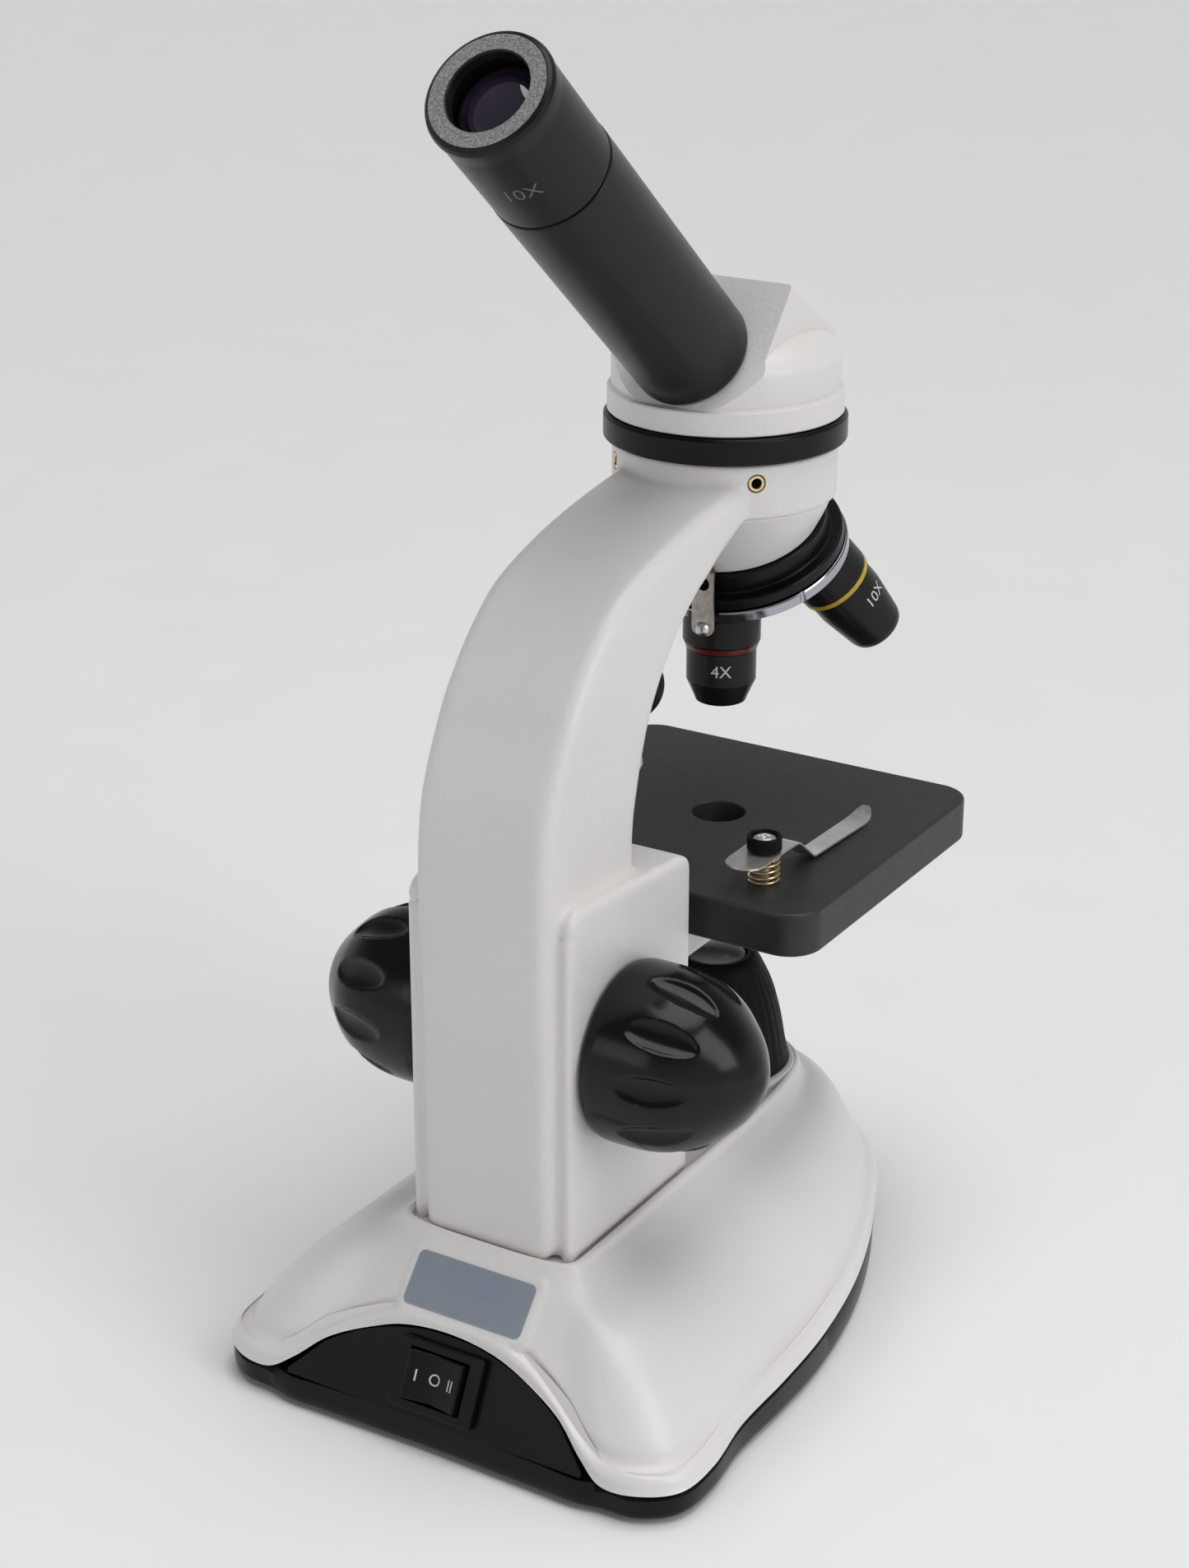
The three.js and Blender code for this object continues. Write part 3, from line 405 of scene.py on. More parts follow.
def cast(obj, others, voxel_mm):
    """Melts overlapping shells into one casting with soft inside corners."""
    bpy.ops.object.select_all(action="DESELECT")
    for part in (*others, obj):
        part.select_set(True)
    bpy.context.view_layer.objects.active = obj
    bpy.ops.object.join()
    remesh = obj.modifiers.new("skin", "REMESH")
    remesh.mode = "VOXEL"
    remesh.voxel_size = voxel_mm * MM
    smooth = obj.modifiers.new("smooth", "SMOOTH")
    smooth.factor = 0.5
    smooth.iterations = 3
    return baked(obj)


def rounded(points, radius, steps=4, closed=False, least=10):
    """The outline with each corner sharper than a few degrees turned into a small curve."""
    vectors = [Vector(p) for p in points]
    count = len(vectors)
    result = []
    for i, p in enumerate(vectors):
        if not closed and i in (0, count - 1):
            result.append(p)
            continue
        before, after = vectors[i - 1] - p, vectors[(i + 1) % count] - p
        if not before.length or not after.length:
            continue
        turn = math.pi - before.angle(after)
        if turn < math.radians(least):
            result.append(p)
            continue
        reach = min(radius * math.tan(turn / 2), before.length * 0.45, after.length * 0.45)
        start, stop = p + before.normalized() * reach, p + after.normalized() * reach
        for k in range(steps + 1):
            t = k / steps
            result.append(start * (1 - t) ** 2 + p * 2 * t * (1 - t) + stop * t * t)
    return result


def spline(points, count, closed=False):
    """Points spaced evenly in parameter on a Catmull-Rom curve."""
    vectors = [Vector(p) for p in points]
    spans = len(vectors) if closed else len(vectors) - 1
    result = []
    for i in range(count):
        t = spans * i / (count if closed else count - 1)
        k = min(int(t), spans - 1)
        u = t - k
        ids = [k - 1, k, k + 1, k + 2]
        if closed:
            ids = [j % len(vectors) for j in ids]
        else:
            ids = [min(max(j, 0), len(vectors) - 1) for j in ids]
        a, b, c, d = (vectors[j] for j in ids)
        result.append(
            (
                b * 2 + (c - a) * u + (a * 2 - b * 5 + c * 4 - d) * u**2
                + (b * 3 - a - c * 3 + d) * u**3
            )
            / 2
        )
    return result


def skin(rings, capped=True):
    """Faces between rings of equal point counts; the caps are single faces."""
    count = len(rings[0])
    points = [p for ring in rings for p in ring]
    faces = []
    for r in range(len(rings) - 1):
        for i in range(count):
            j = (i + 1) % count
            low, high = r * count, (r + 1) * count
            faces.append((low + i, low + j, high + j, high + i))
    if capped:
        faces.append(tuple(reversed(range(count))))
        faces.append(tuple(range(len(points) - count, len(points))))
    return points, faces


def revolve(profile, segments=96, wobble=None):
    """A turned surface about z from (radius, height) points."""
    points, faces, rows = [], [], []
    for r, z in profile:
        if r < 1e-6:
            rows.append([len(points)])
            points.append((0, 0, z))
            continue
        row = []
        for k in range(segments):
            angle = 2 * math.pi * k / segments
            reach = r + (wobble(angle, r, z) if wobble else 0)
            row.append(len(points))
            points.append((reach * math.cos(angle), reach * math.sin(angle), z))
        rows.append(row)
    for low, high in zip(rows, rows[1:]):
        for k in range(segments):
            j = (k + 1) % segments
            corners = [
                low[k % len(low)], low[j % len(low)], high[j % len(high)], high[k % len(high)],
            ]
            unique = list(dict.fromkeys(corners))
            if len(unique) > 2:
                faces.append(tuple(unique))
    return points, faces


def domed(radius, foot, rise, steps):
    """The profile of a lens's curved face, from near its edge to its middle."""
    angles = [math.pi / 2 * k / steps for k in range(1, steps)]
    curve = [(radius * math.cos(a), foot + rise * math.sin(a)) for a in angles]
    return [*curve, (0, foot + rise)]


def lathe(name, profile, finish, body, replaces=(), place=LOCAL, edge=0.25, segments=96, closed=True):
    """A turned piece with small rounded edges. A closed profile comes back to its start."""
    ring = closed and profile[0][0] > 0
    corners = rounded([(*p, 0) for p in profile], edge, closed=ring)
    outline = [(p.x, p.y) for p in corners]
    if ring:
        outline.append(outline[0])
    points, faces = revolve(outline, segments)
    return flat_shading_kept(piece(name, points, faces, finish, body, replaces, place))


def inset(outline, distance):
    """The closed 2-D outline, anticlockwise, moved inwards."""
    count = len(outline)
    result = []
    for i, p in enumerate(outline):
        back = (p - outline[i - 1]).normalized()
        ahead = (outline[(i + 1) % count] - p).normalized()
        inward = Vector((-(back.y + ahead.y), back.x + ahead.x, 0))
        if not inward.length:
            inward = Vector((-back.y, back.x, 0))
        inward.normalize()
        lean = max(inward.dot(Vector((-back.y, back.x, 0))), 0.5)
        result.append(p + inward * (distance / lean))
    return result


def anticlockwise(outline):
    area = sum(a.x * b.y - b.x * a.y for a, b in zip(outline, outline[1:] + outline[:1]))
    return outline if area > 0 else outline[::-1]


def slab_mesh(outline, low, high, edge, steps=4):
    """An outline in x and y, given height, with rounded top and bottom edges."""
    flat = anticlockwise([Vector((p[0], p[1], 0)) for p in outline])
    rings = []
    for base, way, order in ((low, 1, range(steps + 1)), (high, -1, range(steps, -1, -1))):
        for k in order:
            angle = math.pi / 2 * k / steps
            level = base + way * edge * (1 - math.cos(angle))
            ring = inset(flat, edge * (1 - math.sin(angle)))
            rings.append([Vector((p.x, p.y, level)) for p in ring])
    return skin(rings)


def scratch(mesh, place=LOCAL):
    """A shape for a boolean or a casting, which is used up there."""
    return piece("scratch", *mesh, "black_gloss", None, place=place)


def rod(radius, low, high, segments, place=LOCAL):
    profile = [(0, low), (radius, low), (radius, high), (0, high)]
    return scratch(revolve(profile, segments), place)


def block(outline, low, high, edge=0.01, steps=4, place=LOCAL):
    return scratch(slab_mesh(outline, low, high, edge, steps), place)


def slab(name, outline, low, high, edge, finish, body, replaces=(), place=LOCAL):
    points, faces = slab_mesh(outline, low, high, edge)
    return flat_shading_kept(piece(name, points, faces, finish, body, replaces, place))


def rectangle(x0, y0, x1, y1, radius, steps=10):
    corners = [(x0, y0, 0), (x1, y0, 0), (x1, y1, 0), (x0, y1, 0)]
    result = []
    for (x, y, _), start in zip(corners, (180, 270, 0, 90)):
        cx = x + radius if x == x0 else x - radius
        cy = y + radius if y == y0 else y - radius
        for k in range(steps + 1):
            angle = math.radians(start + 90 * k / steps)
            result.append((cx + radius * math.cos(angle), cy + radius * math.sin(angle)))
    return result


# Turns an outline drawn as (y, z) and pushed along x into place.
SIDEWAYS = Matrix(((0, 0, 1, 0), (1, 0, 0, 0), (0, 1, 0, 0), (0, 0, 0, 1)))


def tube_mesh(path, radius, around=12):
    """A round wire along a list of points."""
    rings = []
    side = Vector((0, 0, 1))
    for i, p in enumerate(path):
        ahead = (path[min(i + 1, len(path) - 1)] - path[max(i - 1, 0)]).normalized()
        across = ahead.cross(side)
        if across.length < 1e-3:
            across = ahead.orthogonal()
        across.normalize()
        other = across.cross(ahead)
        ring = []
        for k in range(around):
            angle = 2 * math.pi * k / around
            ring.append(p + across * (radius * math.cos(angle)) + other * (radius * math.sin(angle)))
        rings.append(ring)
    return skin(rings)


def marking(name, text, height, wrap, finish, body, turn=0.0):
    """Flat lettering, each point put in place by wrap(right, up), in millimetres."""
    curve = bpy.data.curves.new(name, "FONT")
    curve.body = text
    curve.size = 1
    curve.align_x = "CENTER"
    curve.align_y = "CENTER"
    curve.resolution_u = 4
    letters = bpy.data.objects.new(name + "_letters", curve)
    bpy.context.collection.objects.link(letters)
    bpy.context.view_layer.update()
    depsgraph = bpy.context.evaluated_depsgraph_get()
    flat = bpy.data.meshes.new_from_object(letters.evaluated_get(depsgraph))
    bpy.data.objects.remove(letters)
    work = bmesh.new()
    work.from_mesh(flat)
    bmesh.ops.triangulate(work, faces=work.faces)
    bmesh.ops.subdivide_edges(work, edges=work.edges, cuts=3, use_grid_fill=True)
    work.to_mesh(flat)
    work.free()
    scale = height / CAP_SHARE
    spin = Matrix.Rotation(turn, 3, "Z")
    spots = [spin @ (v.co * scale) for v in flat.vertices]
    faces = [tuple(p.vertices) for p in flat.polygons]
    bpy.data.meshes.remove(flat)
    return piece(name, [wrap(p.x, p.y) for p in spots], faces, finish, body, place=Matrix.Identity(4))


def around_barrel(place, radius_at, angle, along, up):
    """Wraps lettering round a turned piece: up is +1 or -1 along the frame's own z."""

    def wrap(right, rise):
        height = along + up * rise
        reach = radius_at(height) + LETTER_LIFT
        bearing = angle + up * right / reach
        return place @ Vector((reach * math.cos(bearing), reach * math.sin(bearing), height))

    return wrap


def bearing_of_camera(place):
    spot = place.inverted() @ (LOCAL @ CAMERA_PLACE)
    return math.atan2(spot.y, spot.x)


def repaint(finish, *nodes):
    """A better material on CAD nodes whose shape stays."""
    for node in nodes:
        for holder in frame["nodes"][node].material_slots:
            holder.material = FINISHES[finish]


# ---------------------------------------------------------------- base

RIM = [
    (0, 112.2, 23.3), (11, 112.7, 22.3), (20, 114.1, 19.5), (29, 116.2, 15.2), (36, 119, 9.6),
    (42, 120.9, 6.2), (50, 120, 6.2), (57, 114, 6.2), (58.4, 103, 6.6), (56.8, 88, 7.4),
    (57.2, 70, 8.2), (56.6, 52, 8.8), (53.5, 32, 9), (48.5, 14, 9), (41.5, -4, 9), (31, -25, 9),
    (16, -37.5, 9), (0, -41.2, 9),
]
PLATFORM_Z = 37.7
PLATFORM = [
    (0, 101), (6.5, 101), (12, 100.8), (16.5, 100.3), (19.8, 99.3), (21.6, 97.8), (22.5, 95.6),
    (22.7, 92.6), (22.7, 85), (22.7, 75), (22.7, 63), (22.7, 50), (22.6, 34), (22.2, 18),
    (20.8, 2), (17, -11), (9.5, -17.6), (0, -20),
]
FALL = [1, 1, 1, 1.1, 1.5, 2.1, 2.4, 2.5, 2.4, 2.3, 2.2, 2.2, 2.3, 2.5, 2.7, 3, 3, 3]
LOOP_POINTS = 272
SLOPE_RINGS = 56
# The raised lip round the column's foot, then the level platform inside it: inset and height.
LIP = [(0.15, 0.6), (0.5, 1.15), (1.0, 1.5), (1.5, 1.5), (1.95, 1.15), (2.25, 0.5), (2.3, 0)]


def full_loop(half):
    vectors = [Vector(p) for p in half]
    other = [Vector((-p.x, p.y, p.z)) for p in vectors[-2:0:-1]]
    return spline(vectors + other, LOOP_POINTS, closed=True)


def moved_in(loop, distance, z=None):
    """The loop, clockwise from the back, moved inwards in plan."""
    flat = [Vector((p.x, p.y, 0)) for p in loop][::-1]
    moved = inset(flat, distance)[::-1]
    return [Vector((m.x, m.y, p.z if z is None else z)) for m, p in zip(moved, loop)]


def shell_height(low, high, fall, share):
    dome = 0.87 * (1 - (1 - share) ** fall) + 0.13 * share**10
    bend = min(max((fall - 1) / 0.8, 0), 1)
    rise = share * (1 - bend) + dome * bend
    return low + (high - low) * rise


def bead(distance):
    """The rolled bead and the groove that follow the shell's lower edge, in millimetres."""
    roll = 0.7 * math.exp(-(((distance - 3.0) / 1.9) ** 2))
    groove = -0.72 * math.exp(-(((distance - 6.5) / 1.8) ** 2))
    return roll + groove


def eased(grid, rounds):
    """Relaxes the rings between the first and the last, so no crease runs down the slope."""
    last = len(grid) - 1
    count = len(grid[0])
    for _ in range(rounds):
        for k in range(1, last):
            pull = min(k / 16, (last - k) / 5, 1)
            ring = grid[k]
            grid[k] = [
                p.lerp((ring[i - 1] + ring[(i + 1) % count]) / 2, 0.7 * pull)
                for i, p in enumerate(ring)
            ]
    for _ in range(rounds // 4):
        for k in range(2, last):
            grid[k] = [p.lerp((a + b) / 2, 0.5) for a, p, b in zip(grid[k - 1], grid[k], grid[k + 1])]
    return grid


def beaded(grid):
    """Moves each point along the surface's normal by the bead at its distance from the edge."""
    count = len(grid[0])
    travelled = [0.0] * count
    result = []
    for k, ring in enumerate(grid):
        above = grid[min(k + 1, len(grid) - 1)]
        below = grid[max(k - 1, 0)]
        moved = []
        for i, p in enumerate(ring):
            if k:
                travelled[i] += (p - below[i]).length
            normal = (ring[(i + 1) % count] - ring[i - 1]).cross(below[i] - above[i])
            if normal.length:
                normal.normalize()
            moved.append(p + normal * bead(travelled[i]) * min(1, travelled[i] / 0.8))
        result.append(moved)
    return result


CARD = (-16.4, 12.8, 5.9)
CARD_TO_BASE = Matrix.Translation((0, 107.3, 31.1)) @ Matrix.Rotation(math.radians(131.2), 4, "X")
BASE_TO_CARD = CARD_TO_BASE.inverted()


def flattened(p, reach):
    """Eases the shell to a level seat under the label card."""
    q = BASE_TO_CARD @ p
    if abs(q.z) > 9:
        return p
    beyond_x = max(CARD[0] - q.x, q.x - CARD[1], 0)
    beyond_y = max(abs(q.y) - CARD[2], 0)
    share = min(max(1 - (math.hypot(beyond_x, beyond_y) - 0.8) / reach, 0), 1)
    share = share * share * (3 - 2 * share)
    q.z += (0.02 - q.z) * share
    return CARD_TO_BASE @ q


def add_shell():
    rim = full_loop(RIM)
    platform = full_loop([(x, y, PLATFORM_Z) for x, y in PLATFORM])
    fall = [p.y for p in full_loop([(0, f, 0) for f in FALL])]
    rings = [moved_in(rim, 2.4), moved_in(rim, 0.7)]
    for ring, drop in zip(rings, (4, -0.15)):
        for p in ring:
            p.z += drop
    slope = []
    for k in range(SLOPE_RINGS + 1):
        share = (k / SLOPE_RINGS) ** 1.3
        ring = []
        for low, high, f in zip(rim, platform, fall):
            p = low.lerp(high, share)
            p.z = shell_height(low.z, high.z, f, share)
            ring.append(flattened(p, 6))
        slope.append(ring)
    rings += [[flattened(p, 1.6) for p in ring] for ring in beaded(eased(slope, 60))]
    for distance, lift in LIP:
        rings.append(moved_in(platform, distance, PLATFORM_Z + lift))
    points, faces = skin(rings, capped=False)
    faces.append(tuple(range(len(points) - LOOP_POINTS, len(points))))
    piece("shell_casting", points, faces, "smooth_white", "base", ("base_shell",), sharp=60)
    boss = [(0, 30), (21, 30), (20.2, 34), (19.5, 37.2), (19.1, 38.8), (18.6, 39.5), (17.8, 39.7)]
    lathe("lamp_boss", [*boss, (0, 39.7)], "smooth_white", "base", edge=0.6)


def add_tray():
    outer, crest = [], []
    for i, (x, y, z) in enumerate(RIM):
        if i < 5:
            outer.append((x, 121.1 + i * 0.15, 3.0))
            crest.append((x, 120.35 + i * 0.1, 6.5 - 0.25 * i))
        else:
            outer.append((x * 0.994, y + (-0.4 if y > 0 else 0.3), z - 1.6))
            crest.append((x * 0.975, y + (-1.5 if y > 0 else 1.3), z - 0.5))
    outer, crest = full_loop(outer), full_loop(crest)
    rolled_edge = ((1.6, 0), (0.7, 0.15), (0.15, 0.7), (0, 1.6))
    foot = [moved_in(outer, inwards, z) for inwards, z in rolled_edge]
    inner = [moved_in(crest, 0.7), moved_in(crest, 2.6), moved_in(crest, 2.7, 2.4)]
    mesh = skin([*foot, outer, crest, *inner])
    tray = piece("tray_moulding", *mesh, "black_gloss", None, sharp=60)
    well = block(rectangle(-26, 36, 26, 92, 4), -1, 4)
    carve(tray, [well], "black_gloss", "base", ("base_tray",), 40)
    lid = rectangle(-25.7, 36.3, 25.7, 91.7, 3.7)
    slab("battery_lid", lid, 0.2, 2, 0.3, "black_gloss", "base", ("battery_cover",))
    for k in range(7):
        y = 76 + k * 1.8
        wire = tube_mesh([Vector((-9, y, 0.35)), Vector((9, y, 0.35))], 0.32)
        piece(f"grip_rib_{k + 1}", *wire, "black_gloss", "base")
    pad = [(0, -1.2), (4.6, -1.2), (5.3, -0.9), (5.5, -0.3), (5.5, -0.05), (0, -0.05)]
    for x, y in ((27, -20), (-27, -20), (45, 108), (-45, 108)):
        side = ("front" if y < 0 else "rear") + ("_left" if x > 0 else "_right")
        spot = LOCAL @ Matrix.Translation((x, y, 0))
        lathe("foot_pad_" + side, pad, "rubber", "base", ("foot_" + side,), spot, 0.3, 48)


ARCH = [
    (37, 0.4), (34.6, 2.9), (31.6, 6.1), (28.6, 9), (21.4, 13.2), (14, 16), (6.5, 17.6),
    (0, 17.9),
]
ROCKER_MIDDLE = 8.4
ROCKER = [
    (-6.7, 3.0), (-6.7, -3.3), (-6.2, -3.45), (-3.3, -2.35), (0, -1.55), (3.3, -2.35), (6.2, -3.45),
    (6.7, -3.3), (6.7, 3.0),
]
LAMP_DOME = [
    (17.7, 40), (17.1, 42.2), (16.5, 44.8), (15.8, 49.1), (14.9, 53.3), (13.5, 58.2), (11.7, 62.4),
    (10.2, 65.3), (9.2, 66.5),
]
LAMP_INSIDE = [
    (8.6, 66.8), (7.7, 66.8), (7.4, 66.5), (7.4, 64.6), (10.9, 58), (12.6, 50), (14.2, 40),
    (17.7, 40),
]


def add_rear_panel():
    half = [(x, y, 0) for x, y in ARCH]
    arch = spline(half + [(-x, y, 0) for x, y, _ in half[-2::-1]], 90)
    outline = [Vector((-37, -0.75, 0)), Vector((37, -0.75, 0)), *arch]
    mesh = slab_mesh(outline, 0.1, 2, 0.12, 2)
    panel = piece("panel_plate", *mesh, "black_gloss", None, place=PANEL)
    hole = block(rectangle(-9.6, 1.8, 9.6, 15, 0.5, 3), -2, 4, place=PANEL)
    carve(panel, [hole], "black_gloss", "base", ("rear_panel",), 40)
    flat_shading_kept(panel)

    flange = slab_mesh(rectangle(-10.5, 0.9, 10.5, 15.9, 1.1), -1.9, -0.1, 0.45)
    bezel = piece("switch_frame", *flange, "black_gloss", None, place=PANEL)
    window = block(rectangle(-7.4, 2.7, 7.4, 14.1, 0.4, 4), -4, 3, place=PANEL)
    carve(bezel, [window], "black_gloss", "base", ("switch_bezel",), 40)
    flat_shading_kept(bezel)
    barrel = slab_mesh(rectangle(-9.2, 2.2, 9.2, 14.6, 0.5, 3), 2.2, 9, 0.2)
    piece("switch_barrel", *barrel, "black_matte", "base", place=PANEL)
    sleeve = []
    for grow, depth in ((0, -0.15), (0, 2.4), (-0.05, 2.4)):
        ring = rectangle(-7.45 - grow, 2.65 - grow, 7.45 + grow, 14.15 + grow, 0.4, 4)
        sleeve.append([Vector((x, y, depth)) for x, y in ring])
    piece("switch_sleeve", *skin(sleeve, capped=False), "black_matte", "base", place=PANEL)


def add_rocker():
    """A shallow V across, its two wings slightly dished, with its three marks."""
    outline = [Vector((x, z, 0)) for x, z in ROCKER]
    points, faces = slab_mesh(rounded(outline, 0.35, 3, closed=True), -5.2, 5.2, 0.35, 3)
    turned = [Vector((p.x, p.z + ROCKER_MIDDLE, p.y)) for p in points]
    rocker = piece("rocker_key", turned, faces, "black_gloss", "switch", ("switch_rocker",), PANEL)
    flat_shading_kept(rocker)
    mesh = rocker.data
    faces = [p.vertices[:] for p in mesh.polygons]
    surface = BVHTree.FromPolygons([v.co for v in mesh.vertices], faces)
    outward = (PANEL.to_3x3() @ Vector((0, 0, -1))).normalized()

    def on_rocker(shift):
        def wrap(right, up):
            start = PANEL @ Vector((shift - right, ROCKER_MIDDLE + up, -12))
            hit = surface.ray_cast(start, -outward)[0] or start
            return hit + outward * MARK_LIFT

        return wrap

    marks = (("mark_one", "I", 4.3), ("mark_off", "O", 0.05), ("mark_two", "II", -4.2))
    for name, mark, shift in marks:
        marking(name, mark, 2.6, on_rocker(shift), "marking_white", "switch")


def add_label():
    """A blank foil card on the flat behind the column."""
    outline = rectangle(CARD[0], -CARD[2], CARD[1], CARD[2], 1.4, 8)
    place = LOCAL @ CARD_TO_BASE
    slab("blank_card", outline, -0.22, 0, 0.1, "label_foil", "base", ("blank_label",), place)


def add_base_lamp():
    outline = [(p.x, p.y) for p in spline([(*p, 0) for p in LAMP_DOME], 40)] + LAMP_INSIDE

    def flute(angle, r, z):
        body = min(max((z - 41.5) / 3, 0), 1) * min(max((64.5 - z) / 4, 0), 1)
        outside = 1 if r > 9 + (66.5 - z) * 0.22 else 0
        return -0.22 * body * outside * (1 - abs(math.cos(angle * 18)) ** 0.6)

    dome = revolve(outline, 288, flute)
    piece("lamp_dome", *dome, "black_matte", "base", ("lamp_housing",), sharp=50)
    lens = [(0, 62.8), (7.0, 62.8), (7.1, 66), *domed(7.0, 66, 1.8, 12)]
    lathe("lamp_window", lens, "lamp_glass", "base", ("lamp_lens",), edge=0.05)
    repaint("lamp_white", "lamp_led")


# ---------------------------------------------------------------- arm

ARM_INSIDE = [
    (63.5, 122), (62.8, 127.5), (60.3, 137), (57, 146), (51.8, 154.2), (45.5, 161.4), (38.8, 166.6),
    (33.6, 169.6), (28.5, 172.7), (21.4, 176.1),
]
ARM_OUTSIDE = [
    (20, 186.2), (37.5, 183.6), (53.5, 180), (68.6, 174.6), (78.3, 167.2), (86, 158.6),
    (91.6, 149.6), (96.6, 138.4), (98.7, 128), (99.3, 114), (99, 97), (98.7, 80),
]
COLUMN_FOOT = 38.0
BOX_TOP = [(94.9, 80, 0), (94.9, 117.2, 0), (47.6, 113.6, 0), (47.6, 80, 0)]
COLLAR = [(0, 178.2), (24.2, 178.2), (24.65, 178.7), (24.65, 190.2), (24.3, 190.5), (0, 190.5)]


def screw_frame(angle):
    """A frame at the collar's middle whose z runs out through one of its screws."""
    turn = Matrix.Rotation(math.radians(angle), 4, "Z")
    level = Matrix.Translation((0, 0, SCREW_LEVEL))
    return LOCAL @ turn @ level @ Matrix.Rotation(math.pi / 2, 4, "Y")


def cup_rings(grow):
    top, face = [], []
    to_local = LOCAL.inverted() @ TURRET
    for k in range(120):
        angle = 2 * math.pi * k / 120
        c, s = math.cos(angle), math.sin(angle)
        top.append(Vector(((23.4 + grow) * c, (23.4 + grow) * s, 177.9 + grow)))
        face.append(to_local @ Vector(((18.5 + grow) * c, -(18.5 + grow) * s, 17 + grow)))
    return face, top


def add_arm():
    inside = spline([(*p, 0) for p in ARM_INSIDE], 60)
    outside = spline([(*p, 0) for p in ARM_OUTSIDE], 90)
    column = [(63.5, COLUMN_FOOT), (63.5, 80)]
    outline = [*column, *inside, (16, 178.4), (14, 178.4), (14, 186.8), *outside]
    outline.append((98.4, COLUMN_FOOT))
    place = LOCAL @ SIDEWAYS
    arm = piece("arm_casting", *slab_mesh(outline, -16, 16, 3.0, 5), "white_paint", None, place=place)
    side = [(47.6, COLUMN_FOOT, 0), (94.9, COLUMN_FOOT, 0), *rounded(BOX_TOP, 4.2, 8)]
    box = block(side, -20, 20, 1.1, place=place)
    collar = scratch(revolve(COLLAR, 120))
    edge = [(95.0, COLUMN_FOOT - 1, 0), (95.0, 116.4, 0), (52, 113.2, 0)]
    edge = [Vector((0, p.x, p.y)) for p in rounded(edge, 4.5, 8)]
    ridges = [
        scratch(tube_mesh([p + Vector((x, 0, 0)) for p in edge], 1.25, 16)) for x in (-18.6, 18.6)
    ]
    cast(arm, [box, collar, *ridges], 0.75)

    cutters = [
        block(rectangle(*corners, 0.3, 2), low, high, 0.02, 1)
        for corners, low, high in (
            ((-9.4, 51, 9.4, 60), 48, 107.4),
            ((-6.9, 40, 6.9, 54), 60.4, 107),
            ((-13.4, 57, 13.4, 86), 48, 107.4),
        )
    ]
    cutters.append(rod(13.5, 168, 196, 72))
    cutters.append(scratch(skin(cup_rings(0.35))))
    cutters.append(rod(5.3, -30, 30, 48, SHAFT @ Matrix.Rotation(math.pi / 2, 4, "Y")))
    cutters += [rod(2.05, 14, 30, 32, screw_frame(angle)) for angle in SCREW_ANGLES]
    carve(arm, cutters, "white_paint", "base", ("arm",), 50)


def add_collar_parts():
    sleeve = [(1.05, 16), (1.8, 16), (1.8, 24.45), (1.65, 24.62), (1.2, 24.62), (1.05, 24.4)]
    grub = [(0, 16.5), (1.0, 16.5), (1.0, 22.9), (0.85, 23.1), (0.5, 23.1), (0.5, 21.9), (0, 21.9)]
    for k, angle in enumerate(SCREW_ANGLES):
        place, number = screw_frame(angle), str(k + 1)
        replaced = ("collar_insert_" + number,)
        lathe("brass_insert_" + number, sleeve, "brass", "base", replaced, place, 0.08, 40)
        lathe("grub_screw_" + number, grub, "black_matte", "base", (), place, 0.05, 24)
    band = [(14, 190.8), (26.2, 190.8), (26.6, 191.3), (26.6, 196.0), (26.1, 196.6), (14, 196.6)]
    lathe("collar_band", band, "black_gloss", "base", ("head_ring",), edge=0.4, segments=160)


def add_upper_lamp():
    pod = [(0, -8), (6.6, -8), (6.8, 2), (7.4, 6), (7.6, 12), (7.6, 22.2), (7.2, 24), (6.1, 25)]
    pod += [(5.2, 25.1), (5.2, 21), (0, 21)]
    lathe("lamp_pod", pod, "black_matte", "base", ("upper_lamp",), UPPER_LAMP, 0.5, 96, False)
    lens = [(0, 21.4), (4.9, 21.4), (4.9, 23), *domed(4.9, 23, 2.4, 10)]
    lathe("pod_window", lens, "clear_glass", "base", ("upper_lamp_lens",), UPPER_LAMP, 0.05, 64)


# ---------------------------------------------------------------- head

HEAD_FOOT = [
    (0, 196.9), (25.5, 196.9), (25.8, 197.2), (25.8, 201.9), (25.5, 202.3), (25.0, 202.4),
    (24.75, 202.7), (24.9, 203.2), (24.9, 209.3),
]
HEAD_DOME = [
    (24.9, 209.3), (24.4, 210.5), (22.8, 212.2), (20.4, 213.7), (17.3, 215), (9, 216.4), (0, 216.8),
]
WEDGE = [(17.6, 203, 0), (17.6, 213, 0), (3.6, 226.6, 0), (-18.0, 212.9, 0), (-18.0, 203, 0)]
EYEPIECE = [
    (9.6, 68), (11.6, 68), (11.6, 92.9), (12.65, 92.9), (12.85, 93.15), (12.9, 114.4),
    (12.95, 115.8), (13.2, 117.6), (13.25, 118.7), (12.9, 119.6), (12.2, 120.1), (11.9, 120.0),
    (8.9, 120.0), (8.5, 119.6), (8.4, 117.4), (9.6, 116.8),
]


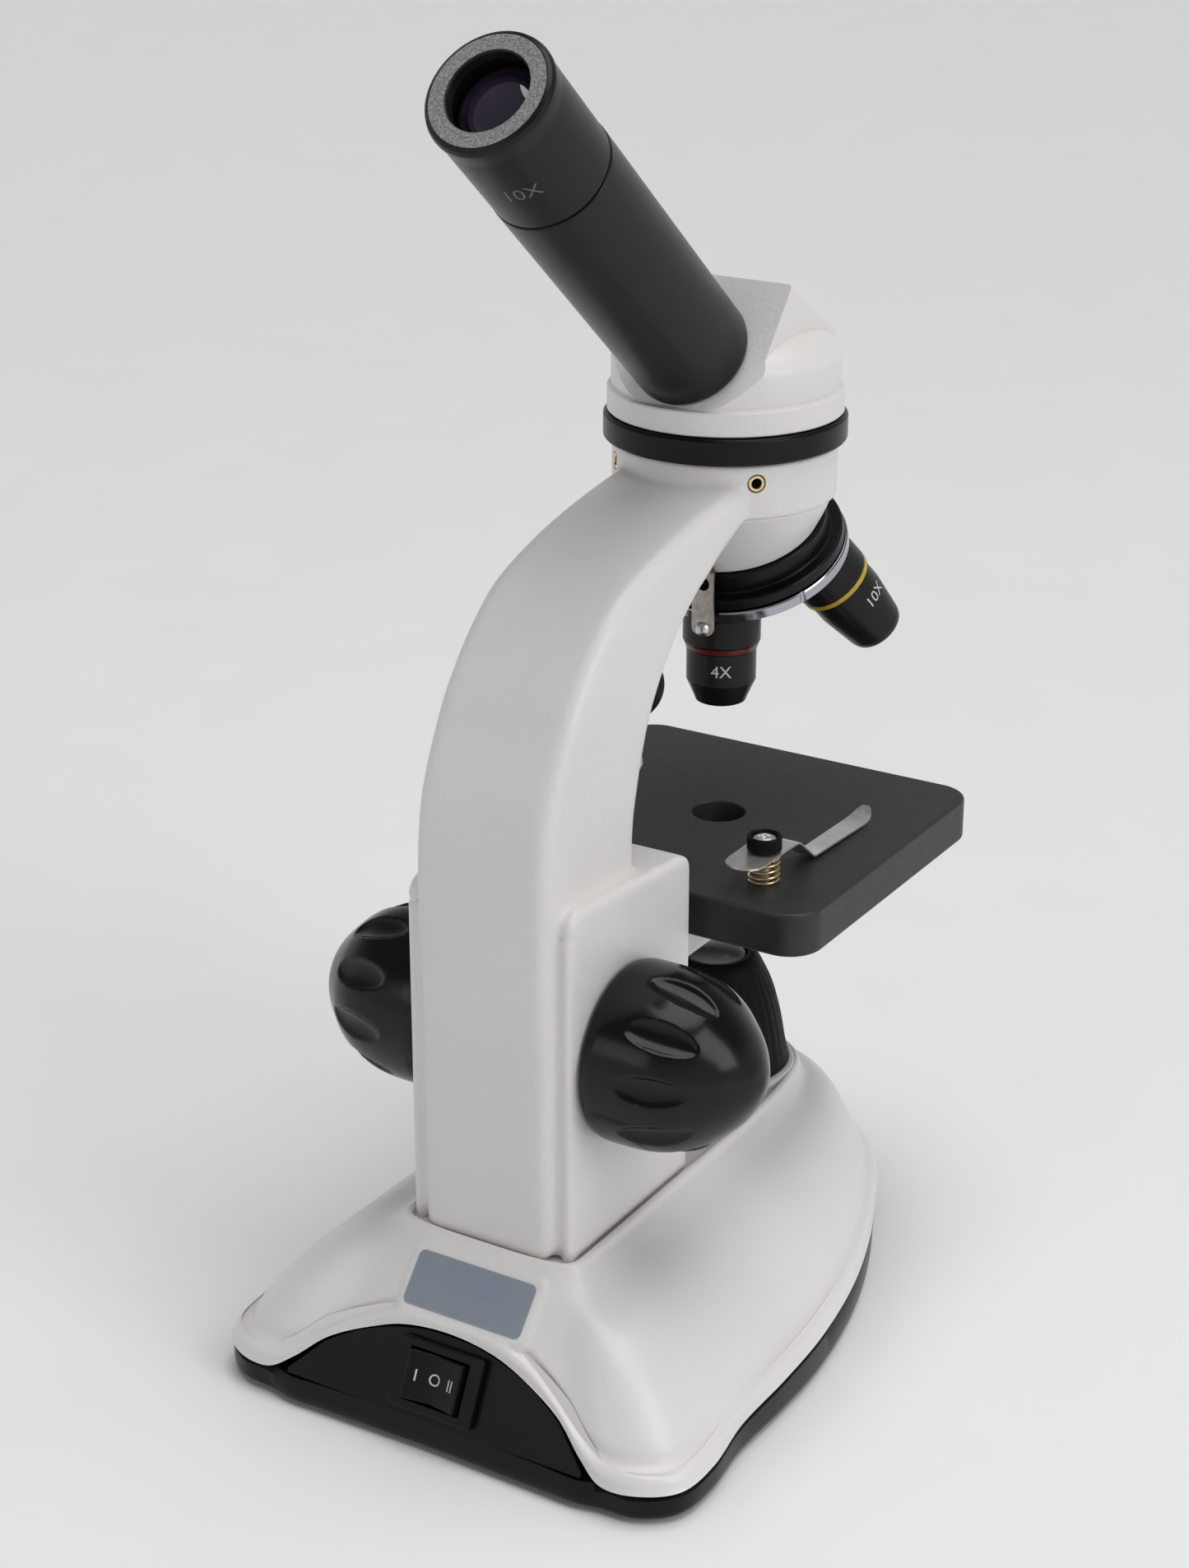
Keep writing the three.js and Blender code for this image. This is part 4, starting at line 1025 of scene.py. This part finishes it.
def add_head():
    dome = [(max(p.x, 0), p.y) for p in spline([(*p, 0) for p in HEAD_DOME], 30)[1:]]
    dome[-1] = HEAD_DOME[-1]
    head = piece("head_casting", *revolve(HEAD_FOOT + dome, 128), "white_paint", None)
    merge(head, block(rounded(WEDGE, 1.6, 6, True), -17.3, 17.3, 1.1, place=LOCAL @ SIDEWAYS))
    carve(head, [block(rectangle(-40, -45, 40, 60, 2, 2), 19.6, 70, 0.1, 1, TUBE)])
    cutters = [rod(10, 4, 40, 72, TUBE), rod(11, 190, 212, 72)]
    carve(head, cutters, "white_paint", "head", ("head_housing",), 30)
    band = [
        (11.8, 197), (25.5, 196.9), (25.8, 197.2), (25.8, 201.7), (25.55, 202.1), (24.6, 202.15),
    ]
    lathe("head_band", [*band, (11.8, 202.15)], "white_paint", "head", edge=0.2, segments=160)
    repaint("violet_glass", "prism")


def add_tube_and_eyepiece():
    def fitted(name, profile, finish, body, replaces, edge, segments):
        lathe(name, profile, finish, body, replaces, TUBE, edge, segments)

    tube = [
        (11.9, 19.9), (12.3, 19.9), (12.75, 20.2), (13, 21.1), (13, 92.3), (12.8, 92.6),
        (11.9, 92.6),
    ]
    fitted("tube_barrel", tube, "black_anodised", "head", ("eyepiece_tube",), 0.15, 144)
    fitted("eyepiece_shell", EYEPIECE, "black_anodised", "eyepiece_body", ("eyepiece",), 0.12, 144)
    annulus = [(8.8, 119.9), (12.0, 119.9), (12.0, 120.08), (8.8, 120.08)]
    fitted("eyepiece_face", annulus, "speckled_grey", "eyepiece_body", (), 0.04, 144)
    dome = [(0, 110.5), (9.3, 110.5), (9.3, 113.2), *domed(9.3, 113.2, 3.5, 16)]
    fitted("eyepiece_lens", dome, "violet_glass", "eyepiece_body", ("eye_lens",), 0.05, 96)
    stop = [(0, 104), (9.4, 104), (9.4, 104.6), (0, 104.6)]
    fitted("field_stop", stop, "black_matte", "eyepiece_body", (), 0.05, 64)
    wrap = around_barrel(TUBE, lambda z: 12.88, bearing_of_camera(TUBE) - 0.55, 104.5, 1)
    marking("eyepiece_power", "10X", 3.4, wrap, "faint_marking", "eyepiece_body")


# ---------------------------------------------------------------- nosepiece and objectives

# Finish of the band; radius and height of its two edges; power; radius and height of the lens;
# height of the power and its bearing from the camera's; profile of the barrel.
OBJECTIVES = {
    "objective_4x": (
        "red_band", (8.5, 41.9, 8.05, 43.2), "4X", (3.75, 54.6), (47.2, 0.0),
        [(7.85, 43.4), (7.85, 50.8), (6.15, 54.6), (5.7, 55.8), (5.3, 56.0), (4.0, 56.0), (4.0, 53)],
    ),
    "objective_10x": (
        "yellow_band", (8.65, 42.4, 8.65, 43.6), "10X", (3.05, 59.4), (49.4, -0.62),
        [(8.0, 43.7), (8.0, 49.4), (6.7, 59.2), (6.3, 60.4), (5.8, 60.9), (3.3, 60.9), (3.3, 57)],
    ),
    "objective_40x": (
        "blue_band", (8.65, 42.4, 8.65, 43.6), "40X", (1.6, 65.7), (49.4, None),
        [(8.0, 43.7), (8.0, 54), (6.6, 58.4), (6.2, 59.0), (5.8, 59.2), (5.2, 59.2), (5.2, 53)],
    ),
}
# The 40X faces away from the camera and has its marking on the outer side.
OUTER_BEARING = math.radians(-60)
TURRET_PROFILE = [
    (2.3, 17.3), (19.3, 17.3), (19.57, 17.6), (19.57, 21.9), (19.9, 22.2), (22.1, 22.25),
    (22.4, 22.6), (22.5, 24.7), (20, 24.8), (20, 28.8), (18.5, 29.7), (5, 35.8), (4.6, 36.2),
    (2.3, 36.2),
]


def add_objectives():
    for name, (paint, band_edge, power, lens, marks, barrel) in OBJECTIVES.items():
        place = objective_frame(name)
        r0, z0, r1, z1 = band_edge
        top = [
            (3, 30.8), (5.7, 30.8), (5.7, 34.9), (8.5, 34.9), (8.75, 35.2), (8.75, z0 - 0.5),
            (r0, z0),
        ]
        groove = [(r0 - 0.12, z0 + 0.02), (r1 - 0.12, z1 - 0.02), (r1, z1)]
        body = [*top, *groove, *barrel, (3, 50)]
        lathe(name + "_barrel", body, "black_anodised", "nosepiece", (name,), place, 0.14, 112)
        ring = [(r0 - 0.6, z0 + 0.04), (r0, z0 + 0.04), (r1, z1 - 0.04), (r1 - 0.6, z1 - 0.04)]
        lathe(name + "_band", ring, paint, "nosepiece", (), place, 0.06, 112)
        radius, face = lens
        glass = [
            (0, face - 2), (radius, face - 2), (radius, face - 0.3), (radius * 0.7, face - 0.05),
        ]
        glass.append((0, face))
        holder = "sprung_nose" if name == "objective_40x" else "nosepiece"
        lathe(name + "_glass", glass, "violet_glass", holder, (name + "_lens",), place, 0.1, 48)
        along, offset = marks
        bearing = OUTER_BEARING if offset is None else bearing_of_camera(place) + offset

        def radius_at(z, barrel=barrel):
            for (ra, za), (rb, zb) in zip(barrel, barrel[1:]):
                if za <= z <= zb:
                    return ra + (rb - ra) * (z - za) / max(zb - za, 1e-6)
            return barrel[0][0]

        wrap = around_barrel(place, radius_at, bearing, along, -1)
        marking(name + "_power", power, 2.8, wrap, "marking_white", "nosepiece")
    nose = [
        (1.8, 55), (4.9, 55), (4.9, 63.6), (4.6, 64.3), (3.5, 66.6), (3.0, 67), (2.0, 67),
        (1.8, 66.7),
    ]
    place = objective_frame("objective_40x")
    lathe("nose_barrel", nose, "chrome", "sprung_nose", ("objective_40x_nose",), place, 0.12, 80)


def add_turret():
    face, top = cup_rings(0)
    rings = []
    for k in range(25):
        t = k / 24
        belly = 0.35 * math.sin(math.pi * t)
        ring = [a.lerp(b, t) for a, b in zip(face, top)]
        rings.append([p + Vector((p.x, p.y, 0)).normalized() * belly for p in ring])
    rings.append([Vector((p.x, p.y, 178.22)) for p in rings[-1]])
    mount = piece("nosepiece_cup", *skin(rings), "white_paint", None)
    carve(mount, [rod(4.2, 150, 190, 48)], "white_paint", "base", ("nosepiece_mount",), 50)

    outline = rounded([(*p, 0) for p in TURRET_PROFILE], 0.2, closed=True)
    ring = [(p.x, p.y) for p in outline]
    turret = piece("turret_body", *revolve([*ring, ring[0]], 160), "black_gloss", None, place=TURRET)
    cutters = [
        rod(radius, low, 45, 48, objective_frame(name))
        for name in OBJECTIVE_TURNS
        for radius, low in ((4.2, 12), (6, 30.4))
    ]
    carve(turret, cutters, "black_gloss", "nosepiece", ("turret",), 35)
    flat_shading_kept(turret)

    rim = [(20.3, 25.1), (22.75, 25.1), (23.03, 25.4), (23.03, 27.6), (22.75, 27.9), (20.3, 27.9)]
    ring = lathe("ball_race_ring", rim, "chrome", None, (), TURRET, 0.15, 180)
    notches = []
    for turn in OBJECTIVE_TURNS.values():
        around = Matrix.Rotation(math.radians(turn), 4, "Z")
        notches.append(rod(0.8, 24, 29, 24, TURRET @ around @ Matrix.Translation((-23.35, 0, 0))))
    carve(ring, notches, "chrome", "nosepiece", ("turret_ring",), 35)

    screw = [
        (0, 9), (2, 9), (2, 36.5), (4, 36.5), (4.1, 36.8), (4.0, 37.3), (2.8, 38.4), (1.4, 38.75),
    ]
    head = lathe("pivot_screw", [*screw, (0, 38.8)], "steel", None, (), TURRET, 0.1, 64)
    slot = block(rectangle(-5, -0.4, 5, 0.4, 0.05, 1), 37.9, 42, 0.01, 1, TURRET)
    carve(head, [slot], "steel", "base", ("turret_screw",), 35)


SPRING_SHIFT = -1.8
SPRING_STATIONS = 40
SPRING_BEND = [(22.75, 4.6), (21.4, 9.6), (19.95, 15), (20.6, 16.8), (24.5, 25.2), (26.2, 29.0)]


def add_click_spring():
    bend = spline([(*p, 0) for p in SPRING_BEND], SPRING_STATIONS)
    last = SPRING_STATIONS - 1
    half_width, thickness = 2.7, 0.55
    rings = []
    for i, p in enumerate(bend):
        ahead = (bend[min(i + 1, last)] - bend[max(i - 1, 0)]).normalized()
        out = Vector((ahead.y, -ahead.x, 0)) * (thickness / 2)
        end = min(i, last - i) * 0.62
        wide = half_width * math.sqrt(max(1 - max(1 - end / half_width, 0) ** 2, 0.04))
        ring = []
        for x, side in ((wide, 1), (-wide, 1), (-wide, -1), (wide, -1)):
            q = p + out * side
            ring.append(Vector((x + SPRING_SHIFT, -q.x, q.y)))
        rings.append(ring)
    leaf = piece("click_leaf", *skin(rings), "spring_steel", None, place=TURRET)

    def across_leaf(station):
        p = bend[station]
        ahead = (bend[station + 1] - bend[station - 1]).normalized()
        along = Vector((0, -ahead.x, ahead.y))
        out = Vector((0, -ahead.y, -ahead.x))
        basis = Matrix((Vector((1, 0, 0)), along, out)).transposed().to_4x4()
        return TURRET @ Matrix.Translation(Vector((SPRING_SHIFT, -p.x, p.y))) @ basis

    hole = rod(1.55, -3, 3, 40, across_leaf(25))
    carve(leaf, [hole], "spring_steel", "base", ("click_spring",), 40)
    screw = [(0, -0.2), (1.9, -0.2), (1.9, 0.55), (1.6, 0.95), (0.9, 1.0), (0.8, 0.7), (0, 0.7)]
    lathe("click_screw", screw, "brass", "base", (), across_leaf(13), 0.08, 40)
    ball = [(0, -0.3), (1.75, -0.3), (1.7, 0.3), (1.35, 0.95), (0.8, 1.35), (0, 1.5)]
    lathe("click_ball", ball, "steel", "base", (), across_leaf(35), 0.3, 40)


# ---------------------------------------------------------------- focusing knobs

KNOB_PROFILE = [
    (20.4, 18.2), (20.7, 18.9), (21.6, 19.35), (24, 19.6), (31.5, 19.4), (37.6, 18.2), (42.1, 16),
    (45.8, 12.9), (49.2, 9.3), (51.9, 4.9), (53.0, 1.8), (53.3, 0),
]
DIMPLES = 10
DIMPLE_MIDDLE = 36.3


def add_knob(side, sign, phase):
    segments = 300
    pitch = 2 * math.pi / DIMPLES
    rows = []
    for p in spline([(x, r, 0) for x, r in KNOB_PROFILE], 130):
        x, r = p.x, max(p.y, 0)
        row = []
        for k in range(segments):
            angle = 2 * math.pi * k / segments
            nearest = round((angle - phase) / pitch) * pitch + phase
            u = (x - DIMPLE_MIDDLE) / 7.4
            v = (angle - nearest) * r / 3.2
            depth = 1.45 * max(1 - u * u - v * v, 0) ** 0.62
            reach = r - depth
            along = sign * (x - depth * 0.35)
            row.append(Vector((along, reach * math.sin(angle), reach * math.cos(angle))))
        rows.append(row)
    back = [Vector((sign * KNOB_PROFILE[0][0], p.y * 0.2, p.z * 0.2)) for p in rows[0]]
    mesh = skin([back, *rows[:-1]])
    piece("knob_" + side, *mesh, "knob_black", "knobs", ("focus_knob_" + side,), SHAFT, 60)


def add_focus():
    add_knob("left", 1, math.radians(24))
    add_knob("right", -1, math.radians(12))
    for side, sign in (("left", 1), ("right", -1)):
        across = SHAFT @ Matrix.Rotation(sign * math.pi / 2, 4, "Y")
        bush = [(3.05, 14), (5, 14), (5, 19.9), (4.8, 20.1), (3.2, 20.1), (3.05, 19.9)]
        lathe("bush_" + side, bush, "brass", "base", ("shaft_bush_" + side,), across, 0.1, 48)
    repaint("steel", "focus_shaft", "focus_rack")


# ---------------------------------------------------------------- stage


def add_stage():
    mesh = slab_mesh(rectangle(-45, -42.1, 45, 43.2, 8, 16), 91.9, STAGE_TOP, 0.8, 4)
    plate = piece("stage_casting", *mesh, "stage_black", None)
    light = [(0, 80), (6, 80), (6, 101.4), (6.35, 101.95), (6.35, 110), (0, 110)]
    cutters = [scratch(revolve(light, 72))]
    for x0, x1 in ((20, 41.8), (-41.8, -20)):
        cutters.append(block(rectangle(x0, -38.5, x1, 39.5, 4, 6), 85, 97.9, 0.6, 3))
    for x in (POST_X, -POST_X):
        cutters.append(rod(1.75, 85, 110, 32, LOCAL @ Matrix.Translation((x, POST_Y, 0))))
    carve(plate, cutters, "stage_black", "stage", ("stage_plate",), 35)
    flat_shading_kept(plate)
    lens = [(0, 92.6), (5.7, 92.6), (5.7, 94.6), *domed(5.7, 94.6, 3.2, 12)]
    lathe("stage_lens", lens, "clear_glass", "stage", ("condenser_lens",), edge=0.05, segments=64)
    repaint("black_matte", "diaphragm_disc")
    pivot = [(0, 89), (3.0, 89), (3.4, 89.3), (3.4, 89.8), (1.6, 89.8), (1.6, 96), (0, 96)]
    place = LOCAL @ Matrix.Translation((0, -15.5, 0))
    lathe("disc_pivot", pivot, "steel", "stage", ("diaphragm_screw",), place, 0.1, 40)


def add_bracket():
    table = slab_mesh(rectangle(-14, 9, 14, 47.1, 3, 8), 83.4, 91.6, 0.9, 4)
    bracket = piece("bracket_casting", *table, "white_paint", None)
    extras = [
        block(outline, low, high, edge, 3)
        for outline, low, high, edge in (
            (rectangle(-12, 43.3, 12, 47.1, 1.0, 4), 62, 87, 0.7),
            (rectangle(-6.5, 44, 6.5, 55, 0.6, 3), 64, 90, 0.4),
            (rectangle(-9, 51.4, 9, 59.6, 0.6, 3), 60.5, 92, 0.4),
            (rectangle(-6.5, 55, 6.5, 66.3, 0.6, 3), 60.5, 88.5, 0.4),
        )
    ]
    dress(cast(bracket, extras, 0.5), "white_paint", "stage", ("stage_bracket",), 50)


# Stations along a clip's leaf: x, y, half width and height.
CLIP_LEAF = [
    (-26.9, 40.2, 1.2, 6.6), (-26.9, 39.6, 2.9, 6.6), (-26.9, 38.2, 4.1, 6.6),
    (-26.9, 36, 4.5, 6.6), (-26.9, 25, 4.5, 6.6), (-28.4, 21.0, 3.3, 6.6),
    (-28.6, 20.4, 3.2, 6.3), (-29.6, 14.2, 2.3, 1.2), (-29.7, 13.4, 2.3, 0.85),
    (-30.1, -9.4, 2.6, 0.35), (-30.15, -11.8, 2.5, 0.55), (-30.15, -13.2, 2.1, 1.1),
    (-30.15, -14.2, 1.5, 1.9), (-30.15, -14.7, 0.7, 2.4),
]
CLIP_CAP = [
    (1.8, 7.4), (3.6, 7.4), (3.83, 7.6), (3.83, 10.4), (3.65, 10.65), (3.15, 10.7), (2.95, 10.5),
    (2.95, 9.2), (1.8, 9.2),
]
COIL_TURNS, COIL_STEPS = 4.6, 150


def add_clip(side, sign):
    post = STAGE @ Matrix.Translation((sign * POST_X, POST_Y, 0))
    thickness = 0.42
    stations = []
    for a, b in zip(CLIP_LEAF, CLIP_LEAF[1:]):
        stations += [tuple(p + (q - p) * k / 4 for p, q in zip(a, b)) for k in range(4)]
    stations.append(CLIP_LEAF[-1])
    rings = []
    for x, y, half, z in stations:
        corners = ((half, 0), (-half, 0), (-half, thickness), (half, thickness))
        rings.append([Vector((-sign * (x + across), y, z + level)) for across, level in corners])
    # The leaf's steel has a painted reflection in its raised colour.
    leaf = piece("clip_strip_" + side, *skin(rings), "bright_steel", None, place=STAGE)
    hole = rod(1.9, 4, 9, 40, post)
    carve(leaf, [hole], "bright_steel", "clip_" + side, ("clip_leaf_" + side,), 30)

    path = []
    for k in range(COIL_STEPS + 1):
        t = k / COIL_STEPS
        angle = 2 * math.pi * COIL_TURNS * t + math.radians(40)
        ease = min(max((t - 0.13) / 0.74, 0), 1)
        height = 0.42 + 0.35 * min(t / 0.13, 1) + 4.75 * ease
        height += 0.35 * min(max((t - 0.87) / 0.13, 0), 1)
        path.append(Vector((3.3 * math.cos(angle), 3.3 * math.sin(angle), height)))
    coil = tube_mesh(path, 0.31, 12)
    piece("clip_coil_" + side, *coil, "brass", "stage", ("clip_spring_" + side,), post, 60)

    cap = "clip_cap_" + side
    lathe("clip_collar_" + side, CLIP_CAP, "black_matte", "stage", (cap,), post, 0.12, 72)
    screw = [
        (0, -9), (1.45, -9), (1.45, 9.3), (2.75, 9.3), (2.8, 9.6), (2.5, 10.05), (1.6, 10.4),
        (0, 10.5),
    ]
    head = lathe("clip_bolt_" + side, screw, "bright_steel", None, (), post, 0.1, 56)
    bars = []
    for turn in (0, 90):
        spin = post @ Matrix.Rotation(math.radians(turn + 20), 4, "Z")
        bars.append(block(rectangle(-1.35, -0.28, 1.35, 0.28, 0.05, 1), 9.75, 12, 0.01, 1, spin))
    carve(head, bars, "bright_steel", "stage", ("clip_screw_" + side,), 35)


# ---------------------------------------------------------------- floor


def add_floor():
    mesh = bpy.data.meshes.new("floor")
    corners = [(-1, -1), (1, -1), (1, 1), (-1, 1)]
    mesh.from_pydata([(x * FLOOR_HALF, y * FLOOR_HALF, 0) for x, y in corners], [], [(0, 1, 2, 3)])
    floor = bpy.data.objects.new("floor", mesh)
    bpy.context.collection.objects.link(floor)
    paper = Finish("floor_paper", (0.9, 0.9, 0.905), 0.6).uneven(30, 0.55, 0.7)
    mesh.materials.append(paper.material)


add_camera()
add_studio()
add_floor()
add_shell()
add_tray()
add_rear_panel()
add_rocker()
add_label()
add_base_lamp()
add_arm()
add_collar_parts()
add_upper_lamp()
add_head()
add_tube_and_eyepiece()
add_turret()
add_click_spring()
add_objectives()
add_focus()
add_stage()
add_bracket()
add_clip("left", 1)
add_clip("right", -1)
repaint("steel", "column_bolt_rear", "column_bolt_front")
repaint("grey_plastic", "battery_pack")
